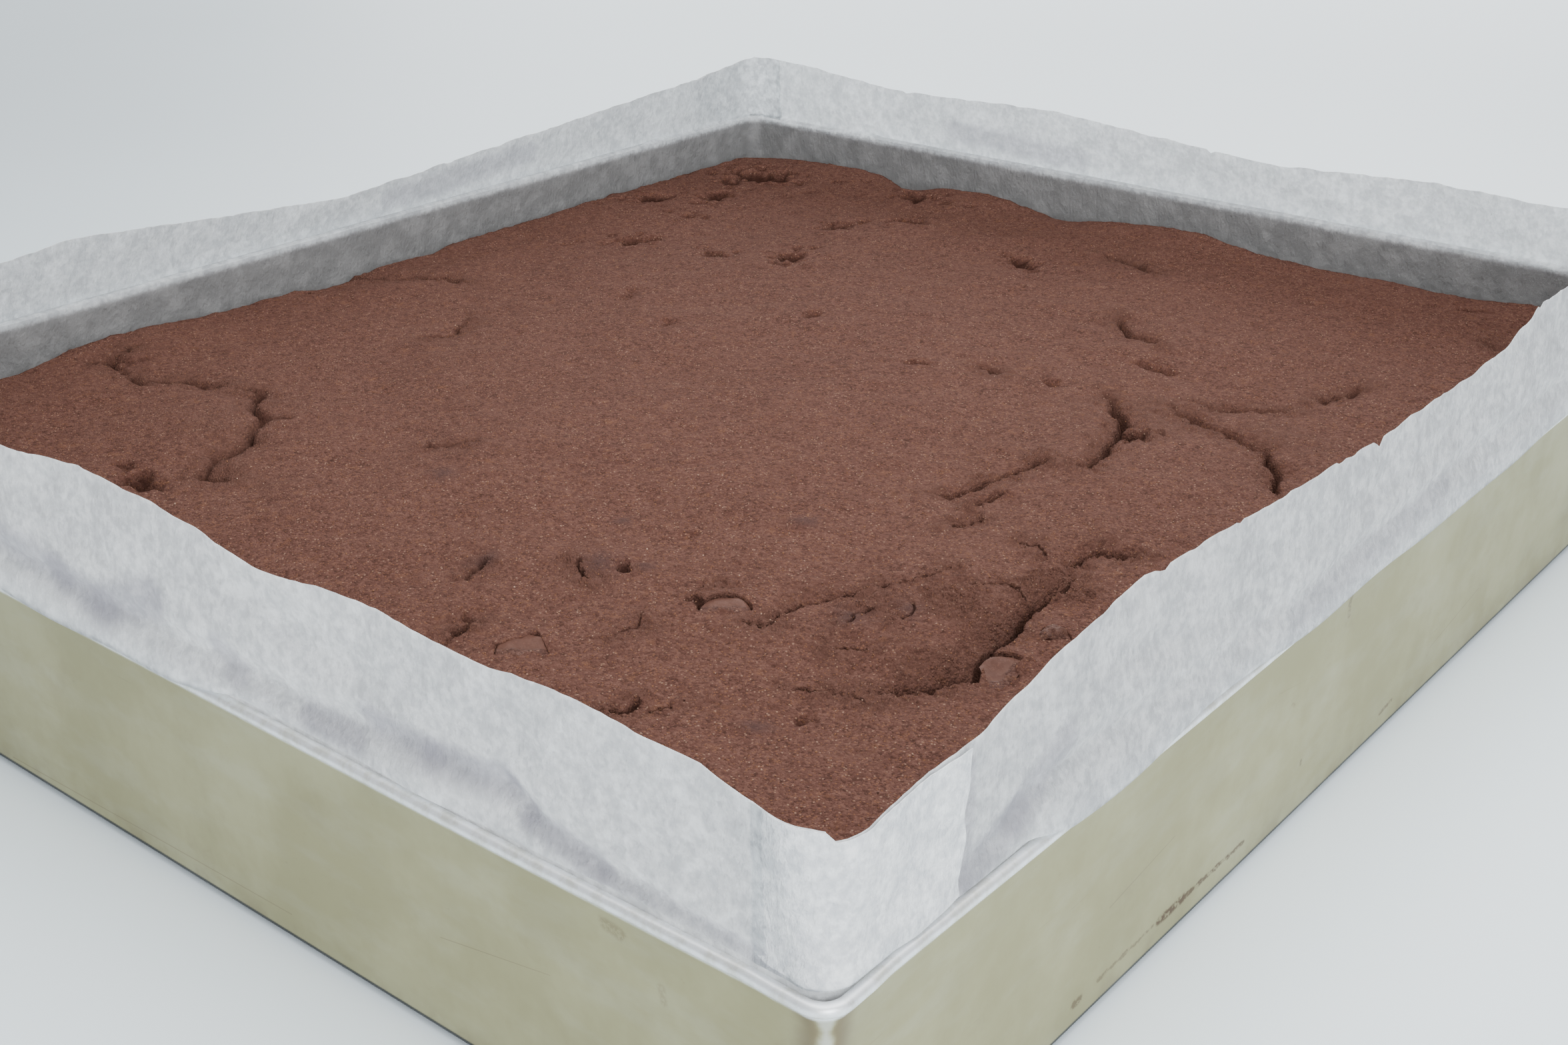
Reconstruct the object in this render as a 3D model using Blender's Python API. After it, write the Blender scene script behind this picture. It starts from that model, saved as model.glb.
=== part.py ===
"""Chocolate mud cake, uncut, in its oblong baking tin on the parchment that it was baked in.

Units are metres, +Z is up.  The origin is on the table under the middle of the tin: +X runs across the
tin's short way and +Y along its long way, so the front is at -Y.  The pieces are the folded tin with its
rolled rim, one sheet of parchment pressed into it and standing up above the rim, the slab of cake up to its
cracked top, and the chocolate chips that lie bare in open pockets of that top.
"""

import math

import bmesh
import bpy
from mathutils import Matrix, Vector, noise
from mathutils.geometry import delaunay_2d_cdt

MM = 0.001
GAP = 0.3 * MM                      # clearance between pieces that touch

# Tin: sizes over the rolled rim, and the sheet that it is folded from
TIN_X = 350 * MM
TIN_Y = 400 * MM
TIN_Z = 49 * MM
SHEET = 0.8 * MM
RIM_R = 1.2 * MM                    # radius of the rolled rim
RIM_PROUD = 2 * RIM_R - SHEET       # how far the rim stands out past the wall
TIN_CORNER_R = 4 * MM
TIN_FOOT_R = 3 * MM

# Parchment
PAPER = 0.5 * MM
PAPER_CORNER_R = 7 * MM
PAPER_PITCH = 11 * MM               # spacing of the stations along a side
OVER_RIM = 3.4 * MM                 # how far the paper's belly reaches out above the rim
FLAP_LENGTH = 30 * MM               # folded corner, laid against the outside of the long sides
FLAP_THICK = 0.5 * MM

# Height of the paper's torn edge above the rim, in millimetres, at places along each side
EDGE_FRONT = ((-175, 23), (-140, 28), (-90, 31.5), (-20, 31), (5, 32.8), (25, 31.5), (52, 28.3), (82, 30),
              (107, 29.6), (130, 31.3), (152, 28.3), (175, 26.3))
EDGE_RIGHT = ((-200, 25), (-165, 25.5), (-139, 30.7), (-110, 32.5), (-83, 30.5), (-49, 30), (-29, 27.8),
              (35, 27.3), (62, 32.8), (85, 32.6), (130, 29.5), (200, 23))
EDGE_BACK = ((-175, 23), (-146, 22.5), (-108, 18.5), (-42, 21), (40, 15.5), (95, 18.5), (133, 17.5),
             (175, 23))
EDGE_LEFT = ((-200, 25), (-150, 19), (-112, 17), (-92, 19), (-48, 14.5), (0, 10.5), (60, 13.5), (165, 19.5),
             (200, 23))

# Cake
CAKE_EDGE_Z = 36 * MM               # where the top meets the paper
CAKE_DOME = 3 * MM                  # how much higher the middle is
CAKE_SHOULDER = 2 * MM              # the top's edge is drawn in from the paper by this much
CAKE_PITCH = 10 * MM                # spacing of the plain part of the top
CRACK_PITCH = 5 * MM
CRACK_BANK = 5 * MM                 # half width of the soft bank along a crack
BANK_DEPTH = 1.2 * MM

# Swells and dips of the top in millimetres: x, y, radius, height
SWELLS = (
    (104, -72, 22, 2.6), (112, -94, 12, 1.2), (136, -78, 14, -1.4), (112, 4, 26, 1.8), (70, -100, 16, 0.8),
    (38, -103, 9, 1.2), (-172, -86, 26, 3.0), (-172, -12, 10, -2.5), (-100, -108, 20, 1.2),
    (-94, 198, 9, -4.5), (-31, 198, 9, -3.5), (-172, 197, 12, -3.5), (8, 196, 24, 3.2), (-62, 196, 18, 1.4),
    (-125, 190, 20, 1.4), (133, 196, 20, 2.4), (0, -60, 60, 1.4), (-60, 60, 50, 1.0), (60, 120, 40, 1.0),
)

# Cracks in millimetres: width, depth, then the places that each runs through
CRACKS = (
    (3.0, 7.0, (117, -109), (123, -102), (126, -95), (123.5, -86), (123, -75), (120, -61), (120, -48)),
    (2.2, 4.5, (116, -41), (116, -36), (120, -32), (123, -26)),
    (1.6, 3.0, (80, -105), (83, -103), (83.5, -93), (91, -81)),
    (2.4, 4.0, (72, -29), (77, -24), (79, -10), (82, 4)),
    (2.0, 3.5, (84, -42), (89, -34)),
    (3.6, 6.0, (69, 53), (75, 47), (83, 37), (88, 25), (91.5, 9), (88, 3)),
    (3.0, 5.0, (86, 54), (96, 50), (107, 47), (119, 42), (126, 35), (134, 19)),
    (2.0, 3.5, (92, 61), (98, 62), (113, 73)),
    (2.4, 4.0, (115, 81), (120, 97)),
    (2.6, 3.5, (42, 105), (52, 93), (65, 91)),
    (2.6, 3.0, (5, 159), (19, 155), (31, 149)),
    (2.4, 3.5, (131, 158), (137, 148)),
    (2.4, 4.5, (-104, -88), (-86, -99), (-78, -107), (-75, -120), (-71, -127), (-60, -124)),
    (1.8, 3.0, (-153, -98), (-138, -100)),
    (3.0, 4.0, (-160, -8), (-138, 10)),
    (1.8, 2.5, (-100, -34), (-99, -22), (-105, -10)),
    (1.6, 2.5, (-38, -87), (-30, -78)),
    (1.6, 2.5, (38, -150), (37, -144), (32, -137)),
    (1.6, 2.5, (22, -128), (19, -118)),
    (1.8, 2.8, (80, -148), (84, -144), (83, -138)),
    (2.2, 3.0, (32, 46), (43, 46)),
)

# Pits in millimetres: x, y, radius, depth
PITS = (
    (-141, 166, 6, 4.5), (-133, 133, 3.5, 3), (-151, 116, 4, 3), (-81, 178, 4, 3), (-9, 134, 5, 3.5),
    (-62, 85, 3.5, 2.5), (-77, 128, 3.5, 2.5), (-63, 148, 3.5, 2.5), (-26, 50, 3, 2.5), (20, 36, 3, 2.5),
    (54, 49, 3, 2.5), (-80, 30, 3, 2), (-54, 18, 3, 2), (-121, 75, 3.5, 2.5), (71, 75, 4, 3),
    (116, 180, 4, 3), (-79, -139, 4, 3), (109, -124, 2.5, 2.5), (45, -82, 2.5, 2), (89, 30, 4, 5),
    (67.5, -105.5, 3, 4), (44, -102.5, 3, 3),
)

# Chips in millimetres: x, y, diameter, thickness, then how far the flat face leans towards the front right
CHIPS = (
    (74, -105, 11.0, 5.0, 10),
    (129.7, -87.3, 11.0, 5.5, 16),
    (52.4, -140.5, 11.0, 5.0, 14),
    (130, -70, 6.5, 4.0, 20),
)
CHIP_SINK = 0.3 * MM                # the flat face lies this far below the crumb beside it
CHIP_TURN = math.radians(39)        # the lean is turned from the front round to the front right corner
CHIP_SIDES = 16
POCKET_GAP = 0.45 * MM              # room round a chip in its pocket
POCKET_RISE = 8 * MM                # how far the pocket's cutter reaches up out of the crumb
CHIP_PROFILE = ((0.9, 0), (1, 0.16), (0.86, 0.5), (0.5, 0.85))      # shares of radius and thickness

CORNERS = ((1, -1, -90), (1, 1, 0), (-1, 1, 90), (-1, -1, 180))     # signs in x and y, first angle in degrees


def material(name, colour, roughness, metallic=0.0):
    """Principled material of one plain colour."""
    made = bpy.data.materials.new(name)
    made.use_nodes = True
    shader = made.node_tree.nodes["Principled BSDF"]
    shader.inputs["Base Color"].default_value = (*colour, 1)
    shader.inputs["Roughness"].default_value = roughness
    shader.inputs["Metallic"].default_value = metallic
    return made


def add_object(name, bm, finish):
    """Turn a bmesh into a named object that has its own material."""
    bmesh.ops.recalc_face_normals(bm, faces=bm.faces)
    mesh = bpy.data.meshes.new(name)
    bm.to_mesh(mesh)
    bm.free()
    mesh.materials.append(finish)
    made = bpy.data.objects.new(name, mesh)
    bpy.context.scene.collection.objects.link(made)
    return made


def smoothstep(low, high, value):
    """0 below low, 1 above high and a smooth ramp between them."""
    t = min(max((value - low) / (high - low), 0), 1)
    return t * t * (3 - 2 * t)


def along(places, value):
    """Height read from (place, height) pairs in millimetres, eased between neighbours; all in metres."""
    value /= MM
    for (a, low), (b, high) in zip(places, places[1:]):
        if value <= b:
            return (low + (high - low) * smoothstep(a, b, value)) * MM
    return places[-1][1] * MM


def outline(half_x, half_y, radius, arc_steps, marks_x=(), marks_y=()):
    """Rounded rectangle as (place, outward normal) pairs, anticlockwise from the front right corner.

    marks_x and marks_y are the stations along the sides that run in x and in y.
    """
    points = []
    for sx, sy, first in CORNERS:
        centre = Vector((sx * (half_x - radius), sy * (half_y - radius), 0))
        for step in range(arc_steps + 1):
            angle = math.radians(first + 90 * step / arc_steps)
            normal = Vector((math.cos(angle), math.sin(angle), 0))
            points.append((centre + radius * normal, normal))
        if sx * sy < 0:
            points += [(Vector((sx * half_x, sx * m, 0)), Vector((sx, 0, 0))) for m in marks_y]
        else:
            points += [(Vector((-sy * m, sy * half_y, 0)), Vector((0, sy, 0))) for m in marks_x]
    return points


def loft(bm, rings):
    """Join rings of equal count into a skin of triangles, closed at both ends."""
    loops = [[bm.verts.new(place) for place in ring] for ring in rings]
    for low, high in zip(loops, loops[1:]):
        for i in range(len(low)):
            j = (i + 1) % len(low)
            bm.faces.new((low[i], low[j], high[j]))
            bm.faces.new((low[i], high[j], high[i]))
    bm.faces.new(reversed(loops[0]))
    bm.faces.new(loops[-1])


def tin():
    """Folded sheet tin: flat base, round foot, upright walls and a rim rolled outwards."""
    profile = [(-TIN_FOOT_R * (1 - math.sin(a)), TIN_FOOT_R * (1 - math.cos(a)))
               for a in (math.radians(30 * i) for i in range(4))]
    rim_centre = (RIM_PROUD - RIM_R, TIN_Z - RIM_R)
    for degrees in range(-60, 211, 30):
        a = math.radians(degrees)
        profile.append((rim_centre[0] + RIM_R * math.cos(a), rim_centre[1] + RIM_R * math.sin(a)))
    inner_r = TIN_FOOT_R - SHEET
    profile += [(-SHEET - inner_r * (1 - math.cos(a)), SHEET + inner_r * (1 - math.sin(a)))
                for a in (math.radians(30 * i) for i in range(4))]
    rings = []
    for outward, z in profile:
        half_x = TIN_X / 2 - RIM_PROUD + outward
        half_y = TIN_Y / 2 - RIM_PROUD + outward
        ring = outline(half_x, half_y, TIN_CORNER_R + outward, 4)
        rings.append([place + Vector((0, 0, z)) for place, _ in ring])
    bm = bmesh.new()
    loft(bm, rings)
    return add_object("tin", bm, material("tin_sheet", (0.42, 0.40, 0.32), 0.42, 0.9))


def paper_edge(place):
    """Height of the paper's top edge above the rim at a place on its outline."""
    x, y = place.x, place.y
    if abs(x) / TIN_X > abs(y) / TIN_Y:
        return along(EDGE_RIGHT if x > 0 else EDGE_LEFT, y)
    return along(EDGE_BACK if y > 0 else EDGE_FRONT, x)


def paper_belly(place, normal):
    """How far the paper swells out over the rim here: nothing at the corners, most along the sides."""
    from_corner = min(TIN_X / 2 - abs(place.x), TIN_Y / 2 - abs(place.y))
    if abs(normal.x) > 0.99:
        from_corner = TIN_Y / 2 - abs(place.y)
    elif abs(normal.y) > 0.99:
        from_corner = TIN_X / 2 - abs(place.x)
    return OVER_RIM * smoothstep(45 * MM, 70 * MM, from_corner)


def paper_flap(place, normal):
    """Thickness that the folded corner adds on the long sides."""
    near_corner = TIN_Y / 2 - abs(place.y) < FLAP_LENGTH
    return FLAP_THICK if near_corner and abs(normal.x) > 0.5 else 0.0


def paper_wave(place, rise):
    """Outward drift of the paper, growing with its height above the rim."""
    slow = noise.noise(Vector((place.x, place.y, 0)) / (70 * MM))
    return (2.4 * slow - 1.0) * MM * rise / (30 * MM)


def side_marks(half, extra=()):
    """Stations along one side, between the rounded corners."""
    reach = half - PAPER_CORNER_R
    count = round(2 * reach / PAPER_PITCH)
    even = [-reach + 2 * reach * i / count for i in range(1, count)]
    return sorted(even + list(extra))


def lining():
    """One sheet of parchment: flat under the cake, up the walls and free above the rim."""
    inset = RIM_PROUD + SHEET + GAP
    half_x = TIN_X / 2 - inset
    half_y = TIN_Y / 2 - inset
    flap_end = TIN_Y / 2 - FLAP_LENGTH
    folds = (-flap_end - 0.4 * MM, -flap_end + 0.4 * MM, flap_end - 0.4 * MM, flap_end + 0.4 * MM)
    marks_x, marks_y = side_marks(half_x), side_marks(half_y, folds)
    stations = outline(half_x, half_y, PAPER_CORNER_R, 5, marks_x, marks_y)
    floor = SHEET + GAP
    foot = 3 * MM
    outer = [[place - foot * normal + Vector((0, 0, floor)) for place, normal in stations]]
    in_foot = foot + PAPER / 2
    inner = [[place - in_foot * normal + Vector((0, 0, floor + PAPER)) for place, normal in stations]]
    for z in (floor + foot, TIN_Z - 2 * MM, TIN_Z + 0.5 * MM):
        outer.append([place + Vector((0, 0, z)) for place, _ in stations])
        inner.append([place - PAPER * normal + Vector((0, 0, z)) for place, normal in stations])
    for share in (0.12, 0.4, 0.7, 1.0):
        out_ring, in_ring = [], []
        for place, normal in stations:
            rise = share * paper_edge(place)
            drift = paper_belly(place, normal) * smoothstep(0, 1, 1.4 - share) + paper_wave(place, rise)
            face = place + Vector((0, 0, TIN_Z + rise)) + min(drift, OVER_RIM) * normal
            out_ring.append(face + paper_flap(place, normal) * normal * smoothstep(0, 0.3, share))
            in_ring.append(face - PAPER * normal)
        outer.append(out_ring)
        inner.append(in_ring)
    bm = bmesh.new()
    loft(bm, outer + inner[::-1])
    return add_object("lining", bm, material("parchment", (0.78, 0.79, 0.79), 0.7))


def path_points(places, pitch):
    """Even steps along a crack, with a slight wander, and how far along it each one is."""
    corners = [Vector((x * MM, y * MM)) for x, y in places]
    points = []
    for a, b in zip(corners, corners[1:]):
        count = max(1, round((b - a).length / pitch))
        side = Vector((a.y - b.y, b.x - a.x)).normalized()
        for i in range(count):
            p = a.lerp(b, i / count)
            points.append(p + side * 0.8 * MM * noise.noise(Vector((p.x, p.y, 0)) / (6 * MM)))
    return points + [corners[-1]]


def distance_to(p, path):
    """Distance from a point to a polyline, and the share of the way along it."""
    best, share = 1.0, 0.0
    for i, (a, b) in enumerate(zip(path, path[1:])):
        step = b - a
        t = min(max((p - a).dot(step) / step.length_squared, 0), 1)
        d = (a + t * step - p).length
        if d < best:
            best, share = d, (i + t) / (len(path) - 1)
    return best, share


def cake_height(p, cracks):
    """Height of the cake's top at a point, with its swells, cracks and pits."""
    dome = (1 - (2 * p.x / TIN_X) ** 2) * (1 - (2 * p.y / TIN_Y) ** 2)
    z = CAKE_EDGE_Z + CAKE_DOME * dome ** 0.6 if dome > 0 else CAKE_EDGE_Z
    z += 1.3 * MM * noise.noise(Vector((p.x, p.y, 0)) / (42 * MM))
    z += 0.6 * MM * noise.noise(Vector((p.x, p.y, 0.1)) / (17 * MM))
    for x, y, radius, height in SWELLS:
        d = (Vector((x, y)) * MM - p).length / (radius * MM)
        z += height * MM * math.exp(-d * d)
    for x, y, radius, depth in PITS:
        d = (Vector((x, y)) * MM - p).length / (radius * MM)
        z -= depth * MM * math.exp(-2 * d ** 3)
    groove = 0.0
    for width, depth, path in cracks:
        d, share = distance_to(p, path)
        taper = math.sqrt(math.sin(math.pi * min(max(share, 0.04), 0.96)))
        bank = BANK_DEPTH * math.exp(-(d / CRACK_BANK) ** 2)
        cut = (depth - BANK_DEPTH) * max(0, 1 - 2 * d / width)
        groove = max(groove, taper * (bank + cut))
    return z - groove


def cake_points(ring, cracks):
    """Places on the top that its triangles need: an even field, cracks, their banks and the pits."""
    points = list(ring)
    edges = [(i, (i + 1) % len(ring)) for i in range(len(ring))]
    margin = 5 * MM
    half_x, half_y = TIN_X / 2 - margin, TIN_Y / 2 - margin
    special = []
    for width, _, path in cracks:
        first = len(points) + len(special)
        special += path
        edges += [(first + i, first + i + 1) for i in range(len(path) - 1)]
        for i, p in enumerate(path):
            step = path[min(i + 1, len(path) - 1)] - path[max(i - 1, 0)]
            side = Vector((-step.y, step.x)).normalized()
            special += [p + side * away for away in (-width / 2, width / 2, -CRACK_BANK, CRACK_BANK)]
    for x, y, radius, _ in PITS:
        centre = Vector((x, y)) * MM
        special.append(centre)
        special += [centre + radius * MM * Vector((math.cos(k * math.tau / 6), math.sin(k * math.tau / 6)))
                    for k in range(6)]
    points += special
    columns, rows = round(2 * half_x / CAKE_PITCH), round(2 * half_y / CAKE_PITCH)
    for i in range(1, columns):
        for j in range(1, rows):
            across = (i + 0.5 * (j % 2)) / columns
            p = Vector((half_x * (2 * across - 1), half_y * (2 * j / rows - 1)))
            if p.x < half_x - 0.3 * CAKE_PITCH and all((p - q).length > 0.45 * CAKE_PITCH for q in special):
                points.append(p)
    return points, edges


def cake():
    """Solid slab of cake with an uneven, cracked top."""
    inset = RIM_PROUD + SHEET + PAPER + 2 * GAP
    half_x, half_y = TIN_X / 2 - inset, TIN_Y / 2 - inset
    radius = PAPER_CORNER_R - PAPER - GAP
    marks_x, marks_y = side_marks(half_x), side_marks(half_y)
    wall = outline(half_x, half_y, radius, 4, marks_x, marks_y)
    brow = [place.xy - CAKE_SHOULDER * normal.xy for place, normal in wall]
    cracks = [(w * MM, d * MM, path_points(places, CRACK_PITCH)) for w, d, *places in CRACKS]
    points, edges = cake_points(brow, cracks)
    flat, _, triangles, *_ = delaunay_2d_cdt(points, edges, [list(range(len(brow)))], 1, 0.05 * MM)
    bm = bmesh.new()
    verts = [bm.verts.new((p.x, p.y, cake_height(p, cracks))) for p in flat]
    for triangle in triangles:
        bm.faces.new([verts[i] for i in triangle])
    floor = SHEET + PAPER + 2 * GAP
    foot = 3 * MM
    for outward, top, sink in ((0, None, 3 * MM), (0, floor + foot, 0), (-foot, floor, 0)):
        rim = [edge for edge in bm.edges if edge.is_boundary]
        new = bmesh.ops.extrude_edge_only(bm, edges=rim)["geom"]
        for vert in (item for item in new if isinstance(item, bmesh.types.BMVert)):
            place, normal = min(wall, key=lambda station: (station[0].xy - vert.co.xy).length)
            vert.co.xy = place.xy + outward * normal.xy
            vert.co.z = vert.co.z - sink if top is None else top
    bmesh.ops.holes_fill(bm, edges=[edge for edge in bm.edges if edge.is_boundary])
    return add_object("cake", bm, material("chocolate_crumb", (0.20, 0.095, 0.065), 0.9)), cracks


def chip_mesh(diameter, thickness, grow=0.0, rise=0.0):
    """Chocolate drop with its flat face up at z = 0 and its rounded side down.

    grow fattens it for its pocket, and rise carries the pocket up out of the crumb.
    """
    bm = bmesh.new()
    radius = diameter / 2 + grow
    depth = thickness + grow
    profile = [(radius * share, -drop * depth) for share, drop in CHIP_PROFILE]
    if rise:
        profile = [(radius * 1.25, rise), (radius * 1.05, 0.3 * MM)] + profile[1:]
    rings = []
    for r, z in profile:
        angles = [k * math.tau / CHIP_SIDES for k in range(CHIP_SIDES)]
        rings.append([Vector((r * math.cos(a), r * math.sin(a), z)) for a in angles])
    rings.append([Vector((p.x * 0.2, p.y * 0.2, -depth)) for p in rings[-1]])
    loft(bm, rings)
    return bm


def chips(body, cracks):
    """Bare chocolate chips, each in a pocket that is cut into the cake's top."""
    finish = material("chocolate", (0.11, 0.05, 0.035), 0.4)
    for number, (x, y, diameter, thickness, lean) in enumerate(CHIPS, 1):
        place = Vector((x, y)) * MM
        beside = [cake_height(place + Vector((math.cos(a), math.sin(a))) * diameter * 0.6 * MM, cracks)
                  for a in (k * math.tau / 8 for k in range(8))]
        level = sorted(beside)[len(beside) // 2] - CHIP_SINK
        turn = Matrix.Rotation(CHIP_TURN, 4, "Z") @ Matrix.Rotation(math.radians(lean), 4, "X")
        cutter = chip_mesh(diameter * MM, thickness * MM, POCKET_GAP, POCKET_RISE)
        pocket = add_object(f"pocket_{number}", cutter, finish)
        pocket.hide_render = True
        pocket.display_type = "WIRE"
        chip = add_object(f"chocolate_chip_{number}", chip_mesh(diameter * MM, thickness * MM), finish.copy())
        for piece in (pocket, chip):
            piece.matrix_world = Matrix.Translation((place.x, place.y, level)) @ turn
        cut = body.modifiers.new(f"pocket_{number}", "BOOLEAN")
        cut.operation = "DIFFERENCE"
        cut.solver = "EXACT"
        cut.object = pocket


def main():
    for old in list(bpy.data.objects):
        bpy.data.objects.remove(old)
    tin()
    lining()
    body, cracks = cake()
    chips(body, cracks)


main()
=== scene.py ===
import logging
import math
from dataclasses import dataclass, field
from enum import Enum

import bmesh
import bpy
import numpy as np
from mathutils import Matrix, Vector, noise


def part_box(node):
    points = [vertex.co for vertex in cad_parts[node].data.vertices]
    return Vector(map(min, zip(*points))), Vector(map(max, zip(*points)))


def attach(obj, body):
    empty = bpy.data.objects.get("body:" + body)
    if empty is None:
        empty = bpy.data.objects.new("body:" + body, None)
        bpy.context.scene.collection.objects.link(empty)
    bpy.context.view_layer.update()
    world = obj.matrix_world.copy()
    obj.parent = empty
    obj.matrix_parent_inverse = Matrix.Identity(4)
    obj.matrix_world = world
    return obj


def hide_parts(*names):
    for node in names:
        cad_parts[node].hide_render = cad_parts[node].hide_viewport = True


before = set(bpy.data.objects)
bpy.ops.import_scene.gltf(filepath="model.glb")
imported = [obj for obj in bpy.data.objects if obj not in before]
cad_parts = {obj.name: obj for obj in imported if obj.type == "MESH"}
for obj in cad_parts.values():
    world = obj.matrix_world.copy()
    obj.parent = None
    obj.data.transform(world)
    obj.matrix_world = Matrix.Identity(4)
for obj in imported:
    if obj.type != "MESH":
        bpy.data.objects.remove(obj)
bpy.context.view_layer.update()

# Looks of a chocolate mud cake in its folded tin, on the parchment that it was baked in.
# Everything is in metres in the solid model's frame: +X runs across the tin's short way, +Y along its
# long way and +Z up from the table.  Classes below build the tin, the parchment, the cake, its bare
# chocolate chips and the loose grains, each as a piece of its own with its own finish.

MM = 0.001
MICRON = 1e-6
Array = np.ndarray
Socket = bpy.types.NodeSocket
Colour = tuple[float, float, float]
Place = tuple[float, float]
Point = tuple[float, float, float]

log = logging.getLogger("mud_cake")


class Slot(Enum):
    """Names of the material slots."""

    TIN = "tin_sheet"
    PARCHMENT = "parchment"
    CRUMB = "chocolate_crumb"
    CHOCOLATE = "chocolate"


class Side(Enum):
    """The four walls, each with its outward direction."""

    FRONT = (0, -1)
    RIGHT = (1, 0)
    BACK = (0, 1)
    LEFT = (-1, 0)


# Numbers that the solid model is made with

RIM_PROUD = 1.6 * MM                # how far the rolled rim stands out past the tin's wall
SHEET = 0.8 * MM                    # thickness of the tin
GAP = 0.3 * MM                      # clearance between the tin, the lining and the cake
PAPER = 0.5 * MM                    # thickness of the solid lining

_, TIN_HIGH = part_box("tin")
TIN_HALF = Vector((TIN_HIGH.x, TIN_HIGH.y))
TIN_TOP = TIN_HIGH.z

TINY = 1e-9                         # keeps a length that is divided by away from nothing
TURN_STEP = 2.4                     # turn in radians from one pit's long axis to the next one's
EDGE_ROUNDING = (-4, -2.5, -1, 1, 2.5, 4)   # reach in millimetres over which read heights are rounded off


def ease(low: float, high: float, value: Array) -> Array:
    """Smooth ramp.

    Args:
        low: value where the ramp is 0.
        high: value where the ramp is 1.
        value: numbers to read the ramp at.

    Returns:
        Numbers from 0 to 1.
    """
    t = np.clip((value - low) / (high - low), 0.0, 1.0)
    return t * t * (3.0 - 2.0 * t)


def bell(distance: Array, width: float) -> Array:
    """1 at no distance, falling smoothly to nothing past about twice the width."""
    return np.exp(-((distance / width) ** 2))


def wobble(points: Array, size: float, layer: float = 0.0) -> Array:
    """Smooth seeded noise.

    Args:
        points: rows of two or three coordinates.
        size: size of the noise's features.
        layer: a different number gives a different noise.

    Returns:
        One number a row, from about -0.6 to 0.6.
    """
    rows = np.zeros((len(points), 3))
    rows[:, : points.shape[1]] = points / size
    rows[:, 2] += layer
    return np.array([noise.noise(row) for row in rows.tolist()])


def along_path(points: Array, path: Array) -> tuple[Array, Array, Array]:
    """Distance from points to a polyline.

    Args:
        points: rows of x and y.
        path: corners of the polyline, rows of x and y.

    Returns:
        Distance, share of the way along, and 1 left of the path or -1 right of it.
    """
    best = np.full(len(points), np.inf)
    share = np.zeros(len(points))
    side = np.ones(len(points))
    steps = np.diff(path, axis=0)
    lengths = np.hypot(*steps.T)
    begun = np.concatenate(([0.0], np.cumsum(lengths)))
    for start, step, length, before in zip(path, steps, lengths, begun):
        away = points - start
        t = np.clip(away @ step / length**2, 0.0, 1.0)
        distance = np.hypot(*(away - t[:, None] * step).T)
        nearer = distance < best
        best = np.where(nearer, distance, best)
        share = np.where(nearer, (before + t * length) / begun[-1], share)
        turn = np.where(step[0] * away[:, 1] - step[1] * away[:, 0] >= 0, 1.0, -1.0)
        side = np.where(nearer, turn, side)
    return best, share, side


def read_heights(places: tuple[Place, ...], value: Array) -> Array:
    """Height along a wall, rounded off at each pair.

    Args:
        places: (place along the wall, height) pairs in millimetres.
        value: places to read the height at, in metres.

    Returns:
        Heights in metres.
    """
    marks, heights = np.array(places).T * MM
    return np.mean([np.interp(value + nudge * MM, marks, heights) for nudge in EDGE_ROUNDING], axis=0)


def move_verts(verts: list[bmesh.types.BMVert], places: Array, heights: Array | float) -> None:
    """Move vertices.

    Args:
        verts: the vertices, in the order of the rows.
        places: rows of x and y.
        heights: one height a row, or one for all.
    """
    for vert, place, height in zip(verts, places.tolist(), np.broadcast_to(heights, len(places)).tolist()):
        vert.co = (*place, height)


def raise_rim(bm: bmesh.types.BMesh, rim: list[bmesh.types.BMEdge]) -> tuple[list, list]:
    """Extrude an open rim.

    Args:
        bm: the mesh.
        rim: its open edges.

    Returns:
        The new open edges and their vertices, which still lie on the old ones.
    """
    made = bmesh.ops.extrude_edge_only(bm, edges=rim)["geom"]
    edges = [item for item in made if isinstance(item, bmesh.types.BMEdge) and item.is_boundary]
    return edges, [item for item in made if isinstance(item, bmesh.types.BMVert)]


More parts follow.
